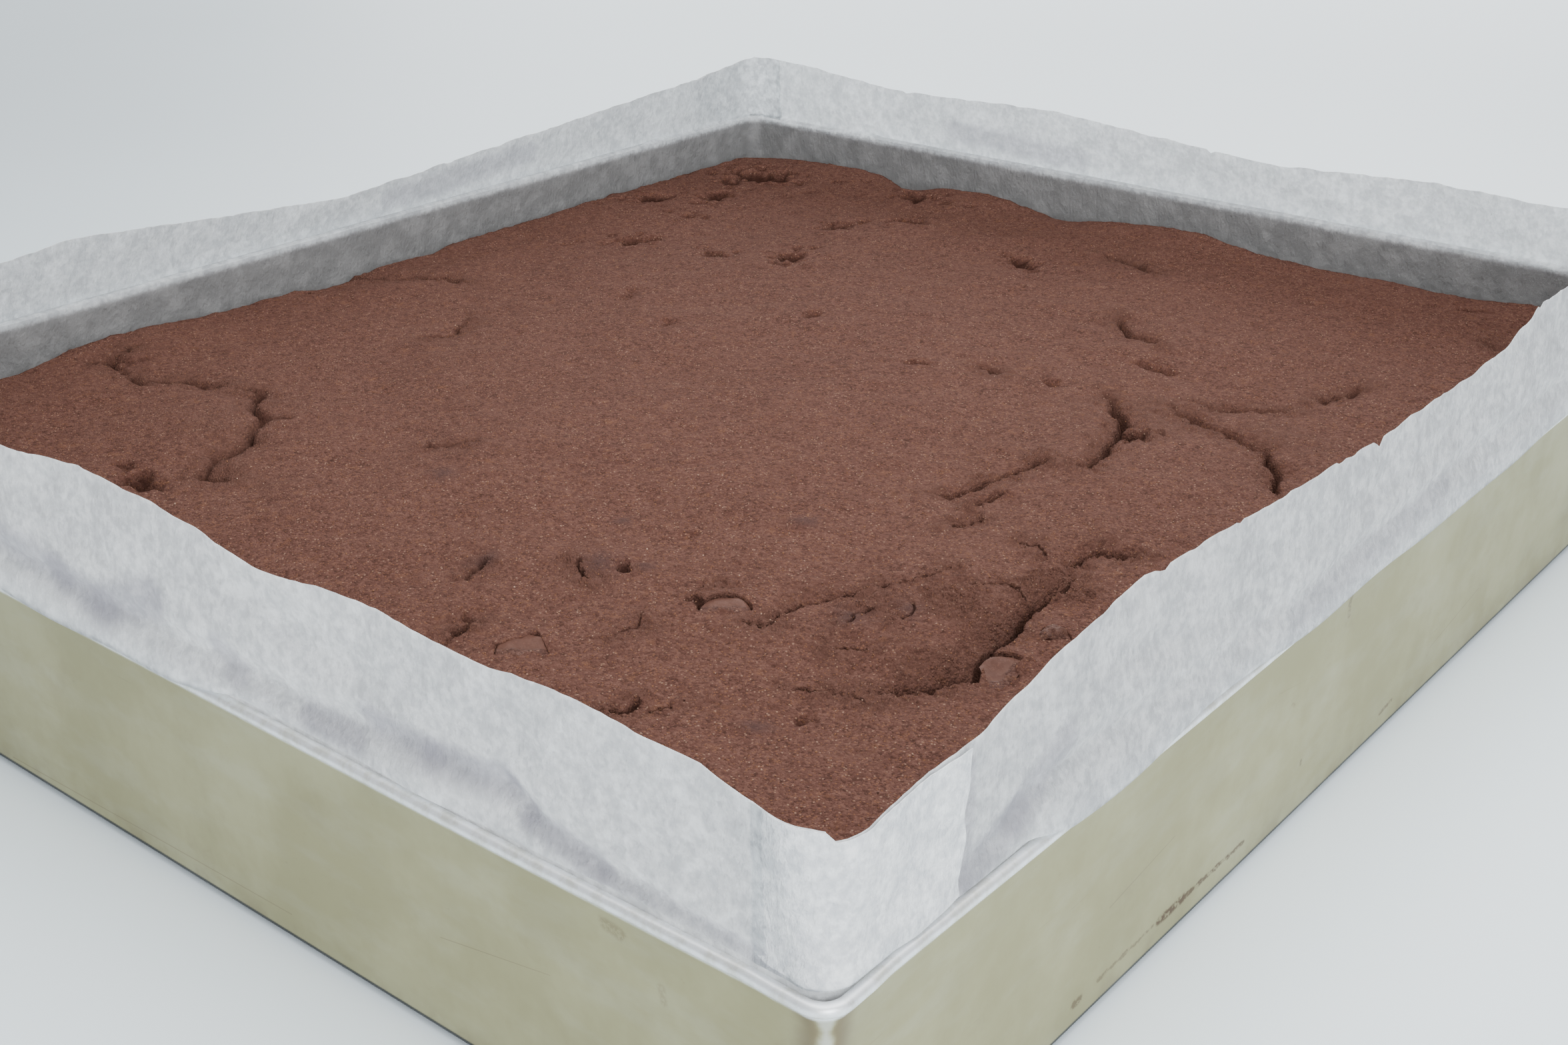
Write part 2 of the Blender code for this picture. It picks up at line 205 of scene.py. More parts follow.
@dataclass(frozen=True)
class RoundedOutline:
    """Rounded rectangle about the origin."""

    half_x: float
    half_y: float
    radius: float

    def room(self, radius: float | Array) -> Array:
        """Half the sides' lengths less a corner radius."""
        return np.array((self.half_x, self.half_y)) - radius

    def from_corner(self, points: Array) -> Array:
        """How far each point on the outline is from the square corner next to it."""
        return np.maximum(self.half_x - np.abs(points[:, 0]), self.half_y - np.abs(points[:, 1]))

    def inside(self, points: Array) -> Array:
        """How far inside the outline each point lies."""
        reach = np.abs(points) - self.room(self.radius)
        outside = np.hypot(*np.maximum(reach, 0.0).T)
        return self.radius - outside - np.minimum(reach.max(axis=1), 0.0)

    def normals(self, points: Array) -> Array:
        """Outward direction at points on the outline."""
        room = self.room(self.radius)
        away = points - np.clip(points, -room, room)
        return away / np.maximum(np.hypot(*away.T), TINY)[:, None]

    def widened(self, points: Array, radii: Array) -> Array:
        """Shift that brings points on the outline onto one with wider corners.

        Args:
            points: rows of x and y on the outline.
            radii: the wider corner radius wanted at each point.

        Returns:
            Rows of x and y to add.
        """
        room = self.room(radii[:, None])
        over = np.abs(points) - room
        here = (over > 0).all(axis=1)
        length = np.maximum(np.hypot(*over.T), TINY)[:, None]
        moved = np.sign(points) * (room + over / length * radii[:, None])
        return np.where(here[:, None], moved - points, 0.0)

    def round_corner(self, corner: tuple[int, int], run: Array) -> tuple[Array, Array]:
        """Places on the outline on both sides of a corner.

        Args:
            corner: signs of the corner's x and y.
            run: distance along the outline from the corner's middle, positive along the y side.

        Returns:
            Rows of x and y, and the outward directions there.
        """
        half_arc = self.radius * math.pi / 4
        angle = math.pi / 4 - np.clip(run, -half_arc, half_arc) / self.radius
        along_y = np.maximum(run - half_arc, 0.0)
        along_x = np.maximum(-run - half_arc, 0.0)
        normals = np.column_stack((np.cos(angle), np.sin(angle)))
        places = self.room(self.radius) + self.radius * normals - np.column_stack((along_x, along_y))
        return places * corner, normals * corner


class RisingWall:
    """A mesh that is raised ring by ring from a rounded floor.

    Each vertex keeps the place on the outline that it stands over, and how far up its wall it is.
    """

    def __init__(self, outline: RoundedOutline, pitch: float, arc_steps: int) -> None:
        """Lay the floor.

        Args:
            outline: the floor's shape.
            pitch: spacing of the vertices along the sides.
            arc_steps: edges in each rounded corner.
        """
        self.outline = outline
        self.bm = bmesh.new()
        self.share = self.bm.verts.layers.float.new("share")
        self.place = self.bm.verts.layers.float_vector.new("place")
        bmesh.ops.create_grid(self.bm, x_segments=1, y_segments=1, size=1.0)
        bmesh.ops.scale(self.bm, vec=(outline.half_x, outline.half_y, 1), verts=self.bm.verts)
        bmesh.ops.bevel(self.bm, geom=list(self.bm.verts), offset=outline.radius, offset_type="OFFSET",
                        segments=arc_steps, profile=0.5, affect="VERTICES", material=-1, clamp_overlap=False)
        for axis, half in ((0, outline.half_x), (1, outline.half_y)):
            run = 2 * (half - outline.radius)
            sides = [edge for edge in self.bm.edges
                     if abs(abs(edge.verts[0].co[axis] - edge.verts[1].co[axis]) - run) < 0.1 * MM]
            bmesh.ops.subdivide_edges(self.bm, edges=sides, cuts=round(run / pitch) - 1)
        places = np.array([vert.co.xy for vert in self.bm.verts])
        self.directions = {}
        for vert, normal in zip(self.bm.verts, outline.normals(places)):
            vert[self.place] = vert.co
            self.directions[vert.co.to_tuple(6)] = Vector((*normal, 0.0))
        self.rim = [edge for edge in self.bm.edges if edge.is_boundary]

    def set_ring(self, verts: list[bmesh.types.BMVert], outward: float, height: float, share: float) -> None:
        """Move vertices to their place in a ring and note where they belong."""
        for vert in verts:
            place = vert[self.place]
            vert.co = place + outward * self.directions[place.to_tuple(6)]
            vert.co.z = height
            vert[self.share] = share

    def start(self, outward: float, height: float) -> None:
        """Set the floor's own ring."""
        self.set_ring(list(self.bm.verts), outward, height, 0.0)

    def ring(self, outward: float, height: float, share: float = 0.0) -> None:
        """Raise the wall by one ring.

        Args:
            outward: how far out of the floor's outline the ring is.
            height: its height.
            share: how far up the wall or the free edge it is, from 0 to 1.
        """
        self.rim, verts = raise_rim(self.bm, self.rim)
        self.set_ring(verts, outward, height, share)

    def close(self) -> None:
        """Fill the inner floor and point every face outwards."""
        bmesh.ops.holes_fill(self.bm, edges=self.rim)
        bmesh.ops.recalc_face_normals(self.bm, faces=self.bm.faces)

    def reshape(self, displace) -> None:
        """Move every vertex.

        Args:
            displace: takes places, normals, heights and shares as arrays and returns the shift in x and
                y and the new height.
        """
        verts = list(self.bm.verts)
        places = np.array([vert[self.place].xy for vert in verts])
        now = np.array([vert.co for vert in verts])
        shares = np.array([vert[self.share] for vert in verts])
        normals = np.array([self.directions[vert[self.place].to_tuple(6)].xy for vert in verts])
        shift, heights = displace(places, normals, now[:, 2], shares)
        move_verts(verts, now[:, :2] + shift, heights)


@dataclass(frozen=True)
class Mark:
    """One straight part of a mark on a wall, in metres.

    Attributes:
        start: one end.
        end: its other end.
        width: half width.
        warp: how far the edge wanders.
        strength: how strongly it is painted.
    """

    start: Point
    end: Point
    width: float
    warp: float
    strength: float


def marks(inset: float, base: float, *rows: tuple) -> tuple[Mark, ...]:
    """Marks on the walls.

    Args:
        inset: how far in from the solid model's box the marked faces are.
        base: height from which the rows count theirs.
        rows: side, half width, wandering of the edge, strength and then the places that the mark runs
            through, each as a distance along the side and a height; all lengths in millimetres.

    Returns:
        Every straight part of every mark.
    """

    def place(side: Side, along: float, height: float) -> Point:
        across = TIN_HALF.x if side.value[0] else TIN_HALF.y
        reach = (across - inset) * (side.value[0] + side.value[1])
        return ((reach, along * MM) if side.value[0] else (along * MM, reach)) + (base + height * MM,)

    return tuple(
        Mark(place(side, *start), place(side, *end), width * MM, warp * MM, strength)
        for side, width, warp, strength, *places in rows for start, end in zip(places, places[1:]))


STAINS = marks(
    RIM_PROUD, 0.0,
    (Side.RIGHT, 1.3, 1.8, 1.0, (-101, 7.4), (-92, 7.2)),
    (Side.RIGHT, 0.8, 2.0, 0.9, (-91, 7.1), (-74, 7.0)),
    (Side.RIGHT, 0.7, 1.4, 0.8, (-75, 6.9), (-68, 6.9)),
    (Side.RIGHT, 0.6, 2.0, 0.5, (-122, 7.0), (-103, 7.3)),
    (Side.RIGHT, 1.2, 1.4, 0.7, (-130, 6.6), (-128, 6.6)),
    (Side.RIGHT, 0.8, 0.5, 0.6, (-45, 13.9), (-45, 13.4)),
    (Side.RIGHT, 0.7, 0.8, 0.6, (-5, 6.5), (1, 7.2)),
    (Side.RIGHT, 0.6, 0.4, 0.35, (-53, 30.6), (-52, 30)),
    (Side.RIGHT, 1.1, 1.2, 0.45, (-31, 47.5), (-30, 40.9)),
    (Side.FRONT, 1.8, 1.6, 0.35, (131, 43.2), (134, 42.5)),
    (Side.FRONT, 1.2, 1.0, 0.25, (142, 36.5), (142.5, 34)),
    (Side.FRONT, 1.2, 1.4, 0.2, (35, 46.6), (42, 46.2)),
    (Side.BACK, 0.8, 1.0, 0.6, (-88, 9), (-74, 8)),
    (Side.BACK, 1.4, 1.3, 0.3, (61, 31), (64, 28)),
    (Side.LEFT, 0.7, 0.9, 0.6, (96, 8), (112, 7.4)),
    (Side.LEFT, 1.0, 0.9, 0.3, (-57, 40), (-57, 34)),
)
SCRATCHES = marks(
    RIM_PROUD, 0.0,
    (Side.FRONT, 0.16, 0.0, 0.5, (-44, 3.7), (50, 7.1)),
    (Side.FRONT, 0.14, 0.0, 0.5, (92, 22), (118, 27)),
    (Side.RIGHT, 0.16, 0.0, 0.5, (-120, 21), (-98, 24)),
    (Side.RIGHT, 0.15, 0.0, 0.5, (-60, 36), (-44, 33)),
    (Side.RIGHT, 0.15, 0.0, 0.5, (20, 12), (48, 16)),
    (Side.BACK, 0.15, 0.0, 0.5, (-30, 19), (22, 24)),
    (Side.LEFT, 0.15, 0.0, 0.5, (-20, 15), (31, 12)),
)

# Painted shade and painted highlights on the free part of the parchment, above the rim: shadows in its
# creases and dips and beside the flap's edge, highlights on its bulges and low band
PAPER_SHADES = marks(
    1.8 * MM, TIN_TOP,
    (Side.FRONT, 6.5, 3.25, 0.40, (-60, 15), (-10, 9), (4, 6)),
    (Side.FRONT, 6.0, 3.0, 0.40, (2, 6), (20, 13)),
    (Side.FRONT, 4.5, 2.25, 0.35, (39, 9), (43, 6)),
    (Side.FRONT, 4.0, 2.0, 0.40, (62, 4), (74, 4.5)),
    (Side.FRONT, 4.5, 2.25, 0.45, (78, 9), (93, 8.6), (110, 10)),
    (Side.FRONT, 3.6, 1.8, 0.45, (111, 10), (115, 6.2), (130, 2.8)),
    (Side.FRONT, 2.4, 1.2, 0.30, (130, 2.6), (164, 2.2)),
    (Side.FRONT, 11.0, 5.5, 0.22, (-150, 14), (-60, 20)),
    (Side.RIGHT, 2.6, 1.3, 0.30, (-165, 2), (-165, 22)),
    (Side.RIGHT, 5.0, 2.5, 0.35, (-164, 3), (-152, 7), (-140, 15)),
    (Side.RIGHT, 5.0, 2.5, 0.20, (-60, 3), (10, 6)),
    (Side.BACK, 6.0, 3.0, 0.25, (-80, 8), (-30, 5)),
    (Side.LEFT, 6.0, 3.0, 0.25, (20, 5), (80, 8)),
)
PAPER_LIGHTS = marks(
    1.8 * MM, TIN_TOP,
    (Side.FRONT, 4.5, 2.25, 0.7, (-170, 2), (-60, 1.8), (-7, 2.8)),
    (Side.FRONT, 3.2, 1.6, 0.7, (-7, 2.8), (28, 0.8)),
    (Side.FRONT, 3.4, 1.7, 0.5, (82, 4.9), (110, 5.1)),
)


class Network:
    """The nodes of one material, built from Object coordinates and attributes."""

    def __init__(self, name: str) -> None:
        """Make a material with a Principled shader."""
        self.material = bpy.data.materials.new(name)
        self.material.use_nodes = True
        self.tree = self.material.node_tree
        self.shader = self.tree.nodes["Principled BSDF"]
        self.output = self.tree.nodes["Material Output"]
        self.coords = self.node("ShaderNodeTexCoord").outputs["Object"]

    def node(self, kind: str, **settings) -> bpy.types.Node:
        """Add a node and set its properties."""
        made = self.tree.nodes.new(kind)
        for name, value in settings.items():
            setattr(made, name, value)
        return made

    def feed(self, socket: Socket, value) -> None:
        """Link a socket into an input, or set it to a plain value."""
        if isinstance(value, bpy.types.NodeSocket):
            self.tree.links.new(value, socket)
        elif isinstance(value, tuple) and len(value) == 3 and socket.type == "RGBA":
            socket.default_value = (*value, 1.0)
        else:
            socket.default_value = value

    def attribute(self, name: str) -> Socket:
        """A number kept on the piece's vertices."""
        return self.node("ShaderNodeAttribute", attribute_name=name).outputs["Fac"]

    def math(self, operation: str, a, b=0.0, clamp: bool = False) -> Socket:
        """Arithmetic on one or two numbers."""
        made = self.node("ShaderNodeMath", operation=operation, use_clamp=clamp)
        self.feed(made.inputs[0], a)
        self.feed(made.inputs[1], b)
        return made.outputs[0]

    def times(self, a, b) -> Socket:
        """One number times another."""
        return self.math("MULTIPLY", a, b)

    def plus(self, a, b) -> Socket:
        """One number added to another."""
        return self.math("ADD", a, b)

    def swing(self, value: Socket, reach: float) -> Socket:
        """A noise that swings about nothing instead of about a half."""
        return self.times(self.math("SUBTRACT", value, 0.5), reach)

    def total(self, *parts: tuple[Socket, float]) -> Socket:
        """The sum of several numbers, each with its weight."""
        (first, weight), *others = parts
        done = self.times(first, weight)
        for part, weight in others:
            done = self.plus(done, self.times(part, weight))
        return done

    def vector(self, operation: str, a, b=(0.0, 0.0, 0.0)) -> bpy.types.Node:
        """Arithmetic on vectors."""
        made = self.node("ShaderNodeVectorMath", operation=operation)
        self.feed(made.inputs[0], a)
        self.feed(made.inputs[1], b)
        return made

    def turned(self, degrees: tuple[float, float, float], stretch: tuple[float, float, float]) -> Socket:
        """Object coordinates turned and then stretched, for grain that runs one way."""
        made = self.node("ShaderNodeMapping", vector_type="POINT")
        self.feed(made.inputs["Vector"], self.coords)
        self.feed(made.inputs["Rotation"], tuple(math.radians(angle) for angle in degrees))
        self.feed(made.inputs["Scale"], tuple(1.0 / part for part in stretch))
        return made.outputs[0]

    def noise(self, size: float, detail: float = 3.0, rough: float = 0.55, vector: Socket | None = None,
              shift: float = 0.0) -> Socket:
        """Noise from 0 to 1 with features of a size in metres."""
        made = self.node("ShaderNodeTexNoise", noise_dimensions="4D")
        self.feed(made.inputs["Vector"], vector or self.coords)
        self.feed(made.inputs["W"], shift)
        self.feed(made.inputs["Scale"], 1.0 / size)
        self.feed(made.inputs["Detail"], detail)
        self.feed(made.inputs["Roughness"], rough)
        return made.outputs["Fac"]

    def cells(self, size: float) -> bpy.types.Node:
        """Voronoi cells of a size in metres."""
        made = self.node("ShaderNodeTexVoronoi", feature="F1")
        self.feed(made.inputs["Vector"], self.coords)
        self.feed(made.inputs["Scale"], 1.0 / size)
        return made

    def remap(self, value, low: float, high: float, out_low: float = 0.0, out_high: float = 1.0) -> Socket:
        """Smoothly map one range of numbers onto another."""
        made = self.node("ShaderNodeMapRange", interpolation_type="SMOOTHSTEP")
        for name, number in (("Value", value), ("From Min", low), ("From Max", high), ("To Min", out_low),
                             ("To Max", out_high)):
            self.feed(made.inputs[name], number)
        return made.outputs[0]

    def mix(self, share, a, b) -> Socket:
        """Blend two colours."""
        made = self.node("ShaderNodeMix", data_type="RGBA", blend_type="MIX")
        self.feed(made.inputs[0], share)
        self.feed(made.inputs[6], a)
        self.feed(made.inputs[7], b)
        return made.outputs[2]

    def separate(self, vector: Socket) -> tuple[Socket, Socket, Socket]:
        """The three parts of a vector."""
        made = self.node("ShaderNodeSeparateXYZ")
        self.feed(made.inputs[0], vector)
        return tuple(made.outputs)

    def bump(self, height: Socket, distance: float, strength: float | Socket,
             under: Socket | None = None) -> Socket:
        """Turn a height into a surface direction."""
        made = self.node("ShaderNodeBump")
        self.feed(made.inputs["Height"], height)
        self.feed(made.inputs["Distance"], distance)
        self.feed(made.inputs["Strength"], strength)
        if under is not None:
            self.feed(made.inputs["Normal"], under)
        return made.outputs[0]

    def line(self, mark: Mark) -> Socket:
        """The mark's strength on it and 0 beside it."""
        start, end = Vector(mark.start), Vector(mark.end)
        away = self.vector("SUBTRACT", self.coords, tuple(start)).outputs[0]
        run = end - start
        dot = self.vector("DOT_PRODUCT", away, tuple(run / max(run.length_squared, TINY))).outputs["Value"]
        along = self.node("ShaderNodeVectorMath", operation="SCALE")
        self.feed(along.inputs[0], tuple(run))
        self.feed(along.inputs["Scale"], self.math("ADD", dot, 0.0, clamp=True))
        distance = self.vector("DISTANCE", away, along.outputs[0]).outputs["Value"]
        if mark.warp:
            distance = self.plus(distance, self.swing(self.noise(3 * mark.width + MM, 3.0, 0.7), mark.warp))
        return self.times(self.remap(distance, mark.width, 0.35 * mark.width), mark.strength)

    def finish(self, colour, roughness, normal: Socket | None = None, **shader) -> bpy.types.Material:
        """Feed the shader and hand over the material."""
        self.feed(self.shader.inputs["Base Color"], colour)
        self.feed(self.shader.inputs["Roughness"], roughness)
        if normal is not None:
            self.feed(self.shader.inputs["Normal"], normal)
        for name, value in shader.items():
            self.feed(self.shader.inputs[name.replace("_", " ").title().replace("Ior", "IOR")], value)
        return self.material


@dataclass(frozen=True)
class TinFinish:
    """Worn sheet tin: cloudy, olive-beige, scratched and stained brown near the base, with a painted shadow
    along its foot, a painted highlight down each corner and a rubbed rim painted paler still as a highlight.
    """

    sheet: Colour = (0.335, 0.312, 0.175)
    cloud: Colour = (0.395, 0.370, 0.218)
    pale_and_highlight: Colour = (0.82, 0.845, 0.87)
    foot_shadow: Colour = (0.022, 0.022, 0.022)
    grime: Colour = (0.19, 0.15, 0.09)
    rust: Colour = (0.105, 0.062, 0.032)

    def material(self) -> bpy.types.Material:
        """Build the material."""
        net = Network("worn_tin")
        x, y, z = net.separate(net.coords)
        clouds = net.remap(net.noise(30 * MM, 5.0, 0.6), 0.36, 0.66)
        level = net.turned((0, 0, 0), (2.5, 2.5, 0.8))
        smears = net.remap(net.noise(9 * MM, 4.0, 0.62, vector=level, shift=4.0), 0.44, 0.68)
        colour = net.mix(clouds, self.sheet, self.cloud)
        colour = net.mix(net.times(smears, 0.05), colour, self.pale_and_highlight)
        dull = net.remap(net.noise(14 * MM, 5.0, 0.7, shift=2.0), 0.54, 0.74, 0.0, 0.18)
        colour = net.mix(dull, colour, self.grime)
        specks = net.remap(net.noise(1.8 * MM, 3.0, 0.7, shift=3.0), 0.66, 0.78, 0.0, 0.25)
        colour = net.mix(specks, colour, self.grime)

        # folded corners: a painted highlight down each rounded corner, with grease baked on at both sides of
        # it
        away_x = net.math("SUBTRACT", TIN_HALF.x, net.math("ABSOLUTE", x))
        away_y = net.math("SUBTRACT", TIN_HALF.y, net.math("ABSOLUTE", y))
        corner = net.math("MAXIMUM", away_x, away_y)
        corner = net.plus(corner, net.swing(net.noise(5 * MM, 3.0), 2.5 * MM))
        band = net.times(net.remap(corner, 3.2 * MM, 4.2 * MM), net.remap(corner, 9.0 * MM, 4.6 * MM))
        colour = net.mix(net.times(band, 0.8), colour, self.grime)
        colour = net.mix(net.remap(corner, 3.8 * MM, 2.8 * MM, 0.0, 0.35), colour, self.pale_and_highlight)

        # stains and rust
        pitted = net.remap(net.noise(1.6 * MM, 4.0, 0.7, shift=6.0), 0.42, 0.52, 0.2, 1.0)
        for mark in STAINS:
            colour = net.mix(net.times(net.line(mark), pitted), colour, self.rust)
        low = net.times(net.remap(z, 8 * MM, 1.5 * MM), net.remap(net.noise(9 * MM, 4.0), 0.45, 0.62))
        colour = net.mix(net.times(low, 0.35), colour, self.grime)
        # painted shadow: a near-black line along the foot, where the tin meets the table
        colour = net.mix(net.remap(z, 3.0 * MM, 2.3 * MM), colour, self.foot_shadow)

        # scratches: a few fine lines that run about level
        fine = net.turned((0, 0, 0), (2.6, 2.6, 0.05))
        lines = net.remap(net.noise(7 * MM, 2.0, 0.5, vector=fine), 0.70, 0.78, 0.0, 0.25)
        for mark in SCRATCHES:
            lines = net.math("MAXIMUM", lines, net.line(mark))
        colour = net.mix(lines, colour, self.grime)

        # the rolled rim is rubbed pale, and painted paler still as a highlight
        rim = net.remap(z, TIN_TOP - 3.4 * MM, TIN_TOP - 2.4 * MM)
        worn = net.remap(net.noise(4 * MM, 4.0, 0.7), 0.35, 0.6, 0.6, 1.0)
        colour = net.mix(net.times(rim, worn), colour, self.pale_and_highlight)
        rough = net.plus(net.total((clouds, -0.07), (rim, -0.12)), 0.52)
        normal = net.bump(net.noise(14 * MM, 2.0, 0.5, shift=7.0), 0.25 * MM, 0.5)
        normal = net.bump(net.noise(0.9 * MM, 3.0, 0.6), 0.02 * MM, 0.7, normal)
        return net.finish(colour, rough, normal, metallic=net.plus(net.times(rim, -0.35), 0.9))


@dataclass(frozen=True)
class ParchmentFinish:
    """Greaseproof paper: cool white, cloudy and fibrous, with painted shade and highlights above the rim, and
    grey inside the tin where fat soaks it and painted shade falls.
    """

    name: str = "greaseproof_parchment"
    marked: bool = True
    light: Colour = (0.90, 0.915, 0.925)
    dark: Colour = (0.62, 0.64, 0.67)
    shade: Colour = (0.42, 0.415, 0.47)
    through: Colour = (0.88, 0.90, 0.91)
    greased_and_shaded: Colour = (0.42, 0.42, 0.425)
    greased_and_shaded_light: Colour = (0.58, 0.58, 0.585)
    see_through: float = 0.70

    def material(self) -> bpy.types.Material:
        """Build the material."""
        net = Network(self.name)
        _, _, z = net.separate(net.coords)
        fibres = net.turned((20, 35, 10), (0.7, 0.7, 1.4))
        cloud = net.remap(net.noise(8 * MM, 5.0, 0.62), 0.40, 0.60)
        fleck = net.remap(net.noise(3.0 * MM, 6.0, 0.72, shift=3.0), 0.42, 0.60)
        streaks = net.remap(net.noise(1.3 * MM, 3.0, 0.6, vector=fibres), 0.35, 0.7)
        mottle = net.remap(net.noise(1.3 * MM, 3.0, 0.6, shift=12.0), 0.40, 0.60, -0.22, 0.22)
        tone = net.math("ADD", net.total((cloud, 0.28), (fleck, 0.60), (streaks, 0.12)), mottle, clamp=True)
        colour = net.mix(tone, self.dark, self.light)
        glow_colour = net.mix(tone, tuple(0.85 * part for part in self.through), self.through)
        # painted shade where the sheet's creases and dips fall in shadow, in the see-through light as well
        for mark in PAPER_SHADES if self.marked else ():
            line = net.line(mark)
            colour = net.mix(line, colour, self.shade)
            glow_colour = net.mix(line, glow_colour, self.shade)
        # painted highlights on the sheet's bulges and on its low band over the rim
        for mark in PAPER_LIGHTS if self.marked else ():
            colour = net.mix(net.line(mark), colour, self.light)

        # fat soaks the part inside the tin, and painted shade darkens it further, in the see-through light
        # too
        level = net.plus(z, net.times(fleck, 0.3 * MM))
        grease_and_shade = net.remap(level, TIN_TOP - 0.5 * MM, TIN_TOP - 2.3 * MM)
        patch = net.remap(net.noise(6 * MM, 5.0, 0.65, shift=8.0), 0.40, 0.66)
        colour = net.mix(grease_and_shade, colour, net.mix(patch, self.greased_and_shaded, self.greased_and_shaded_light))
        height = net.plus(net.noise(4 * MM, 5.0, 0.62), net.times(streaks, 0.2))
        normal = net.bump(height, 1.0 * MM, 0.6)
        material = net.finish(colour, 0.6, normal, specular_ior_level=0.25)
        glow = net.node("ShaderNodeBsdfTranslucent")
        net.feed(glow.inputs["Color"], net.mix(grease_and_shade, glow_colour, self.greased_and_shaded))
        net.feed(glow.inputs["Normal"], normal)
        both = net.node("ShaderNodeMixShader")
        net.feed(both.inputs[0], self.see_through)
        net.feed(both.inputs[1], net.shader.outputs[0])
        net.feed(both.inputs[2], glow.outputs[0])
        net.feed(net.output.inputs["Surface"], both.outputs[0])
        return material


@dataclass(frozen=True)
class CrumbFinish:
    """Dry, sandy chocolate crumb with cream and orange-brown grains."""

    dark: Colour = (0.0465, 0.0205, 0.0155)
    mid: Colour = (0.0865, 0.0390, 0.0295)
    light: Colour = (0.129, 0.064, 0.049)
    orange: Colour = (0.190, 0.086, 0.043)
    cream: Colour = (0.31, 0.195, 0.140)
    bare: Colour = (0.062, 0.035, 0.032)
    shade: Colour = (0.020, 0.0080, 0.0055)

    def tones(self, net: Network) -> tuple[Socket, Socket]:
        """Paint the crumb's colour and height.

        Args:
            net: the node network that is painted into.

        Returns:
            The colour, and the height that shapes the finest relief.
        """
        sand = net.cells(0.5 * MM)
        sand_tone, rust_pick, cream_pick = net.separate(sand.outputs["Color"])
        core = net.remap(sand.outputs["Distance"], 0.55, 0.25)
        mottle = net.noise(1.7 * MM, 5.0, 0.72, shift=1.0)
        patches = net.noise(24 * MM, 3.0, 0.55)
        tone = net.total((mottle, 0.62), (patches, 0.10), (sand_tone, 0.28))
        colour = net.mix(net.remap(tone, 0.30, 0.50), self.dark, self.mid)
        colour = net.mix(net.remap(tone, 0.48, 0.70), colour, self.light)
        spots = net.remap(net.noise(3.6 * MM, 4.0, 0.62, shift=5.0), 0.57, 0.72, 0.0, 0.3)
        colour = net.mix(spots, colour, self.orange)
        colour = net.mix(net.times(net.remap(rust_pick, 0.74, 0.84, 0.0, 0.6), core), colour, self.orange)
        colour = net.mix(net.times(net.remap(cream_pick, 0.945, 0.965, 0.0, 0.65), core), colour, self.cream)
        coarse = net.cells(0.85 * MM)
        pick, _, _ = net.separate(coarse.outputs["Color"])
        near = net.remap(coarse.outputs["Distance"], 0.32, 0.16)
        colour = net.mix(net.times(net.remap(pick, 0.95, 0.97, 0.0, 0.55), near), colour, self.cream)
        # painted shade in the fine gaps between the grains
        grit = net.noise(0.6 * MM, 4.0, 0.75, shift=9.0)
        colour = net.mix(net.remap(grit, 0.44, 0.34, 0.0, 0.7), colour, self.shade)
        lumps = net.noise(1.9 * MM, 5.0, 0.72, shift=2.0)
        return colour, net.total((sand.outputs["Distance"], -0.9), (lumps, 1.2), (grit, 1.2))

    def material(self) -> bpy.types.Material:
        """Build the material."""
        net = Network("mud_cake_crumb")
        colour, height = self.tones(net)
        crumbly = net.attribute("crumbly")
        colour = net.mix(net.times(crumbly, 0.5), colour, self.light)
        colour = net.mix(net.times(net.attribute("bare"), 0.7), colour, self.bare)
        # painted shade in the cracks, pits and chip pockets and where the top rolls over
        colour = net.mix(net.times(net.attribute("cleft_shade"), 0.85), colour, self.shade)
        normal = net.bump(height, 0.6 * MM, net.remap(crumbly, 0.1, 0.9, 0.65, 0.95))
        return net.finish(colour, 0.95, normal, specular_ior_level=0.04)


@dataclass(frozen=True)
class GrainFinish:
    """Loose grains: each has its own tone, from crumb brown to cream."""

    def material(self) -> bpy.types.Material:
        """Build the material."""
        net = Network("loose_grains")
        crumb = CrumbFinish()
        tone = net.attribute("tone")
        colour = net.mix(net.remap(tone, 0.0, 0.5), crumb.mid, crumb.light)
        colour = net.mix(net.remap(tone, 0.55, 0.60), colour, crumb.orange)
        colour = net.mix(net.remap(tone, 0.91, 0.94), colour, crumb.cream)
        normal = net.bump(net.noise(0.25 * MM, 2.0), 0.08 * MM, 0.6)
        return net.finish(colour, 0.8, normal, specular_ior_level=0.25)


@dataclass(frozen=True)
class ChocolateFinish:
    """Melted and set chocolate: satin, tan-brown where it is bare."""

    base: Colour = (0.094, 0.0430, 0.0310)
    deep: Colour = (0.074, 0.0320, 0.0225)
    crumb: Colour = (0.130, 0.0570, 0.0390)

    def material(self) -> bpy.types.Material:
        """Build the material."""
        net = Network("set_chocolate")
        cloud = net.noise(2.2 * MM, 4.0, 0.6)
        colour = net.mix(net.remap(cloud, 0.3, 0.7), self.deep, self.base)
        dust = net.remap(net.noise(0.45 * MM, 4.0, 0.7, shift=2.0), 0.54, 0.66, 0.0, 0.6)
        colour = net.mix(dust, colour, self.crumb)
        height = net.plus(net.noise(1.8 * MM, 4.0, 0.65), net.times(dust, 0.15))

        # crumbs creep over the face
        crumb, lumps = CrumbFinish().tones(net)
        ragged = net.swing(net.noise(1.1 * MM, 4.0, 0.7, shift=6.0), 1.6)
        cover = net.remap(net.plus(net.attribute("dusted"), ragged), 0.35, 0.75)
        colour = net.mix(cover, colour, crumb)
        height = net.plus(height, net.times(cover, net.times(lumps, 1.4)))
        rough = net.plus(net.remap(cloud, 0.3, 0.7, 0.70, 0.58), net.times(cover, 0.15))
        normal = net.bump(height, 0.35 * MM, 0.8)
        return net.finish(colour, rough, normal, specular_ior_level=0.14)


